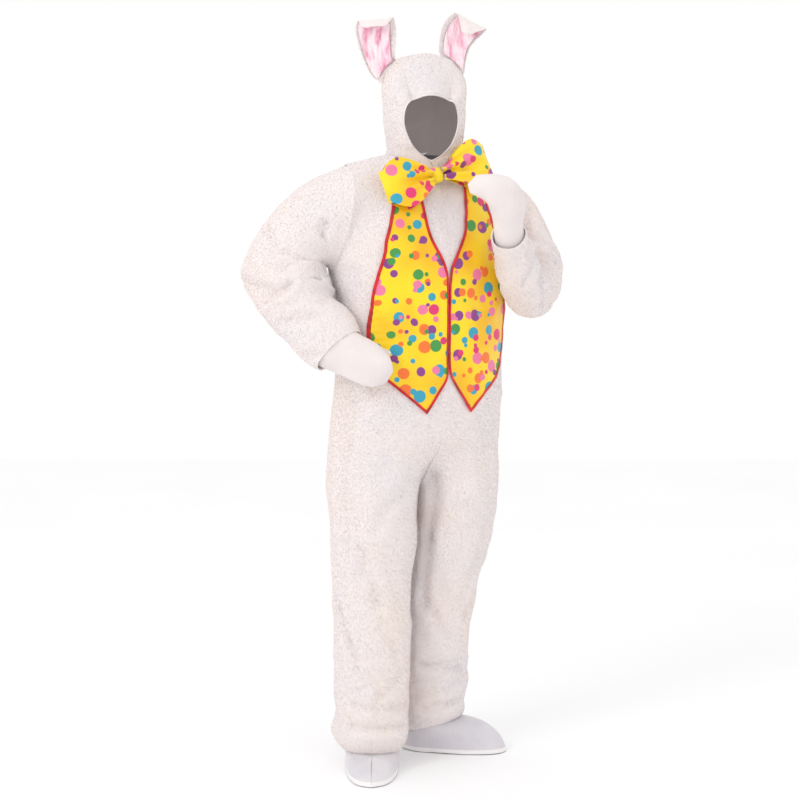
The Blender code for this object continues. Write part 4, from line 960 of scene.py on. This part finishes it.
print("pile cover:", {node: round(float(mark_pile(node)), 2) for node in PLUSH_NODES})

# %% [markdown]
# The tree below makes the tufts. One cone stands for a tuft and is copied onto every scattered point, which
# is quicker than modelling each. Each leans halfway from straight out toward the nap's way, with a little
# turn of its own, and they differ in length. Realize Instances then turns the copies into one mesh.

# %% The pile's node tree
TUFT_DENSITY = 80000.0
TUFT_LENGTH = 0.0029
TUFT_RADIUS = 0.0011
TUFT_SIDES = 3
TUFT_STRAY = 0.35
TUFT_SIZES = (0.65, 1.25)
NAP_WAY = (0.0, 0.0, -1.0)


def pile_tree():
    """The node tree that grows tufts on a cloth, and the identifier of each of its inputs."""
    tree = bpy.data.node_groups.new("pile", "GeometryNodeTree")
    inputs = {}
    tree.interface.new_socket("Cloth", in_out="INPUT", socket_type="NodeSocketGeometry")
    for label, kind, value in (
        ("Tufts a square metre", "NodeSocketFloat", TUFT_DENSITY),
        ("Tuft length", "NodeSocketFloat", TUFT_LENGTH),
        ("Tuft radius", "NodeSocketFloat", TUFT_RADIUS),
        ("Seed", "NodeSocketInt", SEED),
    ):
        socket = tree.interface.new_socket(label, in_out="INPUT", socket_type=kind)
        socket.default_value = value
        inputs[label] = socket.identifier
    tree.interface.new_socket("Pile", in_out="OUTPUT", socket_type="NodeSocketGeometry")
    nodes, links = tree.nodes, tree.links
    entry, leave = nodes.new("NodeGroupInput"), nodes.new("NodeGroupOutput")

    grown = nodes.new("GeometryNodeInputNamedAttribute")
    grown.data_type = "FLOAT"
    grown.inputs["Name"].default_value = "pile"
    density = nodes.new("ShaderNodeMath")
    density.operation = "MULTIPLY"
    links.new(grown.outputs["Attribute"], density.inputs[0])
    links.new(entry.outputs["Tufts a square metre"], density.inputs[1])

    scatter = nodes.new("GeometryNodeDistributePointsOnFaces")
    links.new(entry.outputs["Cloth"], scatter.inputs["Mesh"])
    links.new(density.outputs[0], scatter.inputs["Density"])
    links.new(entry.outputs["Seed"], scatter.inputs["Seed"])

    tuft = nodes.new("GeometryNodeMeshCone")
    tuft.fill_type = "NONE"
    tuft.inputs["Vertices"].default_value = TUFT_SIDES
    tuft.inputs["Radius Top"].default_value = 0.0
    links.new(entry.outputs["Tuft radius"], tuft.inputs["Radius Bottom"])
    links.new(entry.outputs["Tuft length"], tuft.inputs["Depth"])

    stray = nodes.new("FunctionNodeRandomValue")
    stray.data_type = "FLOAT_VECTOR"
    stray.inputs["Min"].default_value = (-TUFT_STRAY,) * 3
    stray.inputs["Max"].default_value = (TUFT_STRAY,) * 3
    nap = nodes.new("ShaderNodeVectorMath")
    nap.operation = "ADD"
    nap.inputs[1].default_value = NAP_WAY
    links.new(stray.outputs["Value"], nap.inputs[0])
    way = nodes.new("ShaderNodeVectorMath")
    way.operation = "ADD"
    links.new(scatter.outputs["Normal"], way.inputs[0])
    links.new(nap.outputs[0], way.inputs[1])
    lean = nodes.new("FunctionNodeAlignRotationToVector")
    lean.axis = "Z"
    links.new(way.outputs[0], lean.inputs["Vector"])

    size = nodes.new("FunctionNodeRandomValue")
    size.data_type = "FLOAT"
    size.inputs[2].default_value, size.inputs[3].default_value = TUFT_SIZES
    size.inputs["Seed"].default_value = SEED + 1

    grow = nodes.new("GeometryNodeInstanceOnPoints")
    links.new(scatter.outputs["Points"], grow.inputs["Points"])
    links.new(tuft.outputs["Mesh"], grow.inputs["Instance"])
    links.new(lean.outputs[0], grow.inputs["Rotation"])
    links.new(size.outputs[1], grow.inputs["Scale"])
    real = nodes.new("GeometryNodeRealizeInstances")
    links.new(grow.outputs[0], real.inputs[0])
    finish = nodes.new("GeometryNodeSetMaterial")
    finish.inputs["Material"].default_value = WHITE_PLUSH
    links.new(real.outputs[0], finish.inputs["Geometry"])
    links.new(finish.outputs[0], leave.inputs["Pile"])
    return tree, inputs


PILE_TREE, PILE_INPUTS = pile_tree()
print("pile tree:", len(PILE_TREE.nodes), "nodes, inputs", ", ".join(PILE_INPUTS))

# %% Grow the pile of each plush piece
piles = {}


def grow_pile(node, number):
    """The tufts of one piece as a plain mesh, each piece with draws of its own."""
    carrier = into_scene(bpy.data.objects.new(f"{node}_pile", pieces[node].data.copy()))
    scatter = carrier.modifiers.new("pile", "NODES")
    scatter.node_group = PILE_TREE
    scatter[PILE_INPUTS["Seed"]] = SEED + number
    return applied(carrier)


for number, node in enumerate(PLUSH_NODES):
    piles[node] = grow_pile(node, number)
pile_triangles = {node: len(pile.data.polygons) for node, pile in piles.items()}
print("pile triangles:", pile_triangles, sum(pile_triangles.values()))

# %% [markdown]
# ## Fasten everything to the frame
# The costume is one body, the root, so every piece and every pile rides on it. Each piece takes the place of
# its plain solid, which is hidden.


for node, pile in piles.items():
    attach(pile, "root")
for node, piece in pieces.items():
    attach(piece, "root")
    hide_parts(node)
    if node == "bow_knot":
        continue

# %% [markdown]
# ## Floor, light and camera
# The photo has a white studio round it and hardly any shadow. A light could be set for each side, but a
# bright even room does the same at once. One broad soft light from the picture's left then adds a little
# shape, and a pale floor catches the faint shadow under the shoe covers.

# %% Floor and light
FLOOR_COLOUR = linear(253, 253, 253)
FLOOR_SHADE = linear(251, 251, 252)
FLOOR_REACH = 6.0
FLOOR_CORNERS = ((-1, -1), (1, -1), (1, 1), (-1, 1))
ROOM_WHITE = (1.0, 1.0, 1.0, 1.0)
ROOM_LIGHT = 1.0
KEY_PLACE = (-2.6, -2.6, 1.7)
KEY_SIZE = (1.4, 2.0)
KEY_WATTS = 34
CHEST = Vector((-0.03, 0.0, -0.5))


def plain_floor():
    """One wide face just under the costume."""
    work = bmesh.new()
    corners = [(x * FLOOR_REACH, y * FLOOR_REACH, FLOOR_HEIGHT) for x, y in FLOOR_CORNERS]
    work.faces.new([work.verts.new(corner) for corner in corners])
    mesh = bpy.data.meshes.new("floor")
    work.to_mesh(mesh)
    work.free()
    floor = into_scene(bpy.data.objects.new("floor", mesh))
    paint = Finish("floor_paint", FLOOR_COLOUR, 0.9)
    paint.colour_from(paint.ramp(paint.noise(0.8, 2.0), ((0.3, FLOOR_COLOUR), (0.7, FLOOR_SHADE))))
    floor.data.materials.append(paint.done())
    return floor


plain_floor()
world = bpy.data.worlds.new("room")
bpy.context.scene.world = world
world.use_nodes = True
background = world.node_tree.nodes["Background"].inputs
background["Color"].default_value = ROOM_WHITE
background["Strength"].default_value = ROOM_LIGHT


def soft_light(name, place, size, power):
    """A broad light at a place, turned to the chest."""
    lamp = bpy.data.lights.new(name, "AREA")
    lamp.shape = "RECTANGLE"
    lamp.size, lamp.size_y = size
    lamp.energy = power
    made = into_scene(bpy.data.objects.new(name, lamp))
    made.location = place
    made.rotation_euler = (CHEST - Vector(place)).to_track_quat("-Z", "Y").to_euler()
    return made


key = soft_light("key", KEY_PLACE, KEY_SIZE, KEY_WATTS)
bpy.context.scene.view_settings.view_transform = "Standard"
print(f"key light: {KEY_WATTS} W, {(CHEST - key.location).length:.1f} m from the chest")

# %% [markdown]
# The camera stands where the photo was taken from: chest high, about four metres in front, and tilted down
# a little. Its focal length is given in the photo's pixels, because sizes in the photo are easy to measure
# that way, and then worked out in millimetres for a sensor of the usual width.

# %% Camera at the photo's place
CAMERA_PLACE = (-0.065, -4.2, -0.1976)
CAMERA_DOWN = math.radians(5.3)
FOCAL_PIXELS = 1670
PHOTO_PIXELS = 799
SENSOR = 36.0
lens = bpy.data.cameras.new("camera")
lens.sensor_width = SENSOR
lens.lens = SENSOR * FOCAL_PIXELS / PHOTO_PIXELS
camera = into_scene(bpy.data.objects.new("camera", lens))
camera.location = CAMERA_PLACE
camera.rotation_euler = (math.pi / 2 - CAMERA_DOWN, 0.0, 0.0)
bpy.context.scene.camera = camera
print(f"camera: {lens.lens:.1f} mm lens, {(CHEST - camera.location).length:.1f} m from the chest")
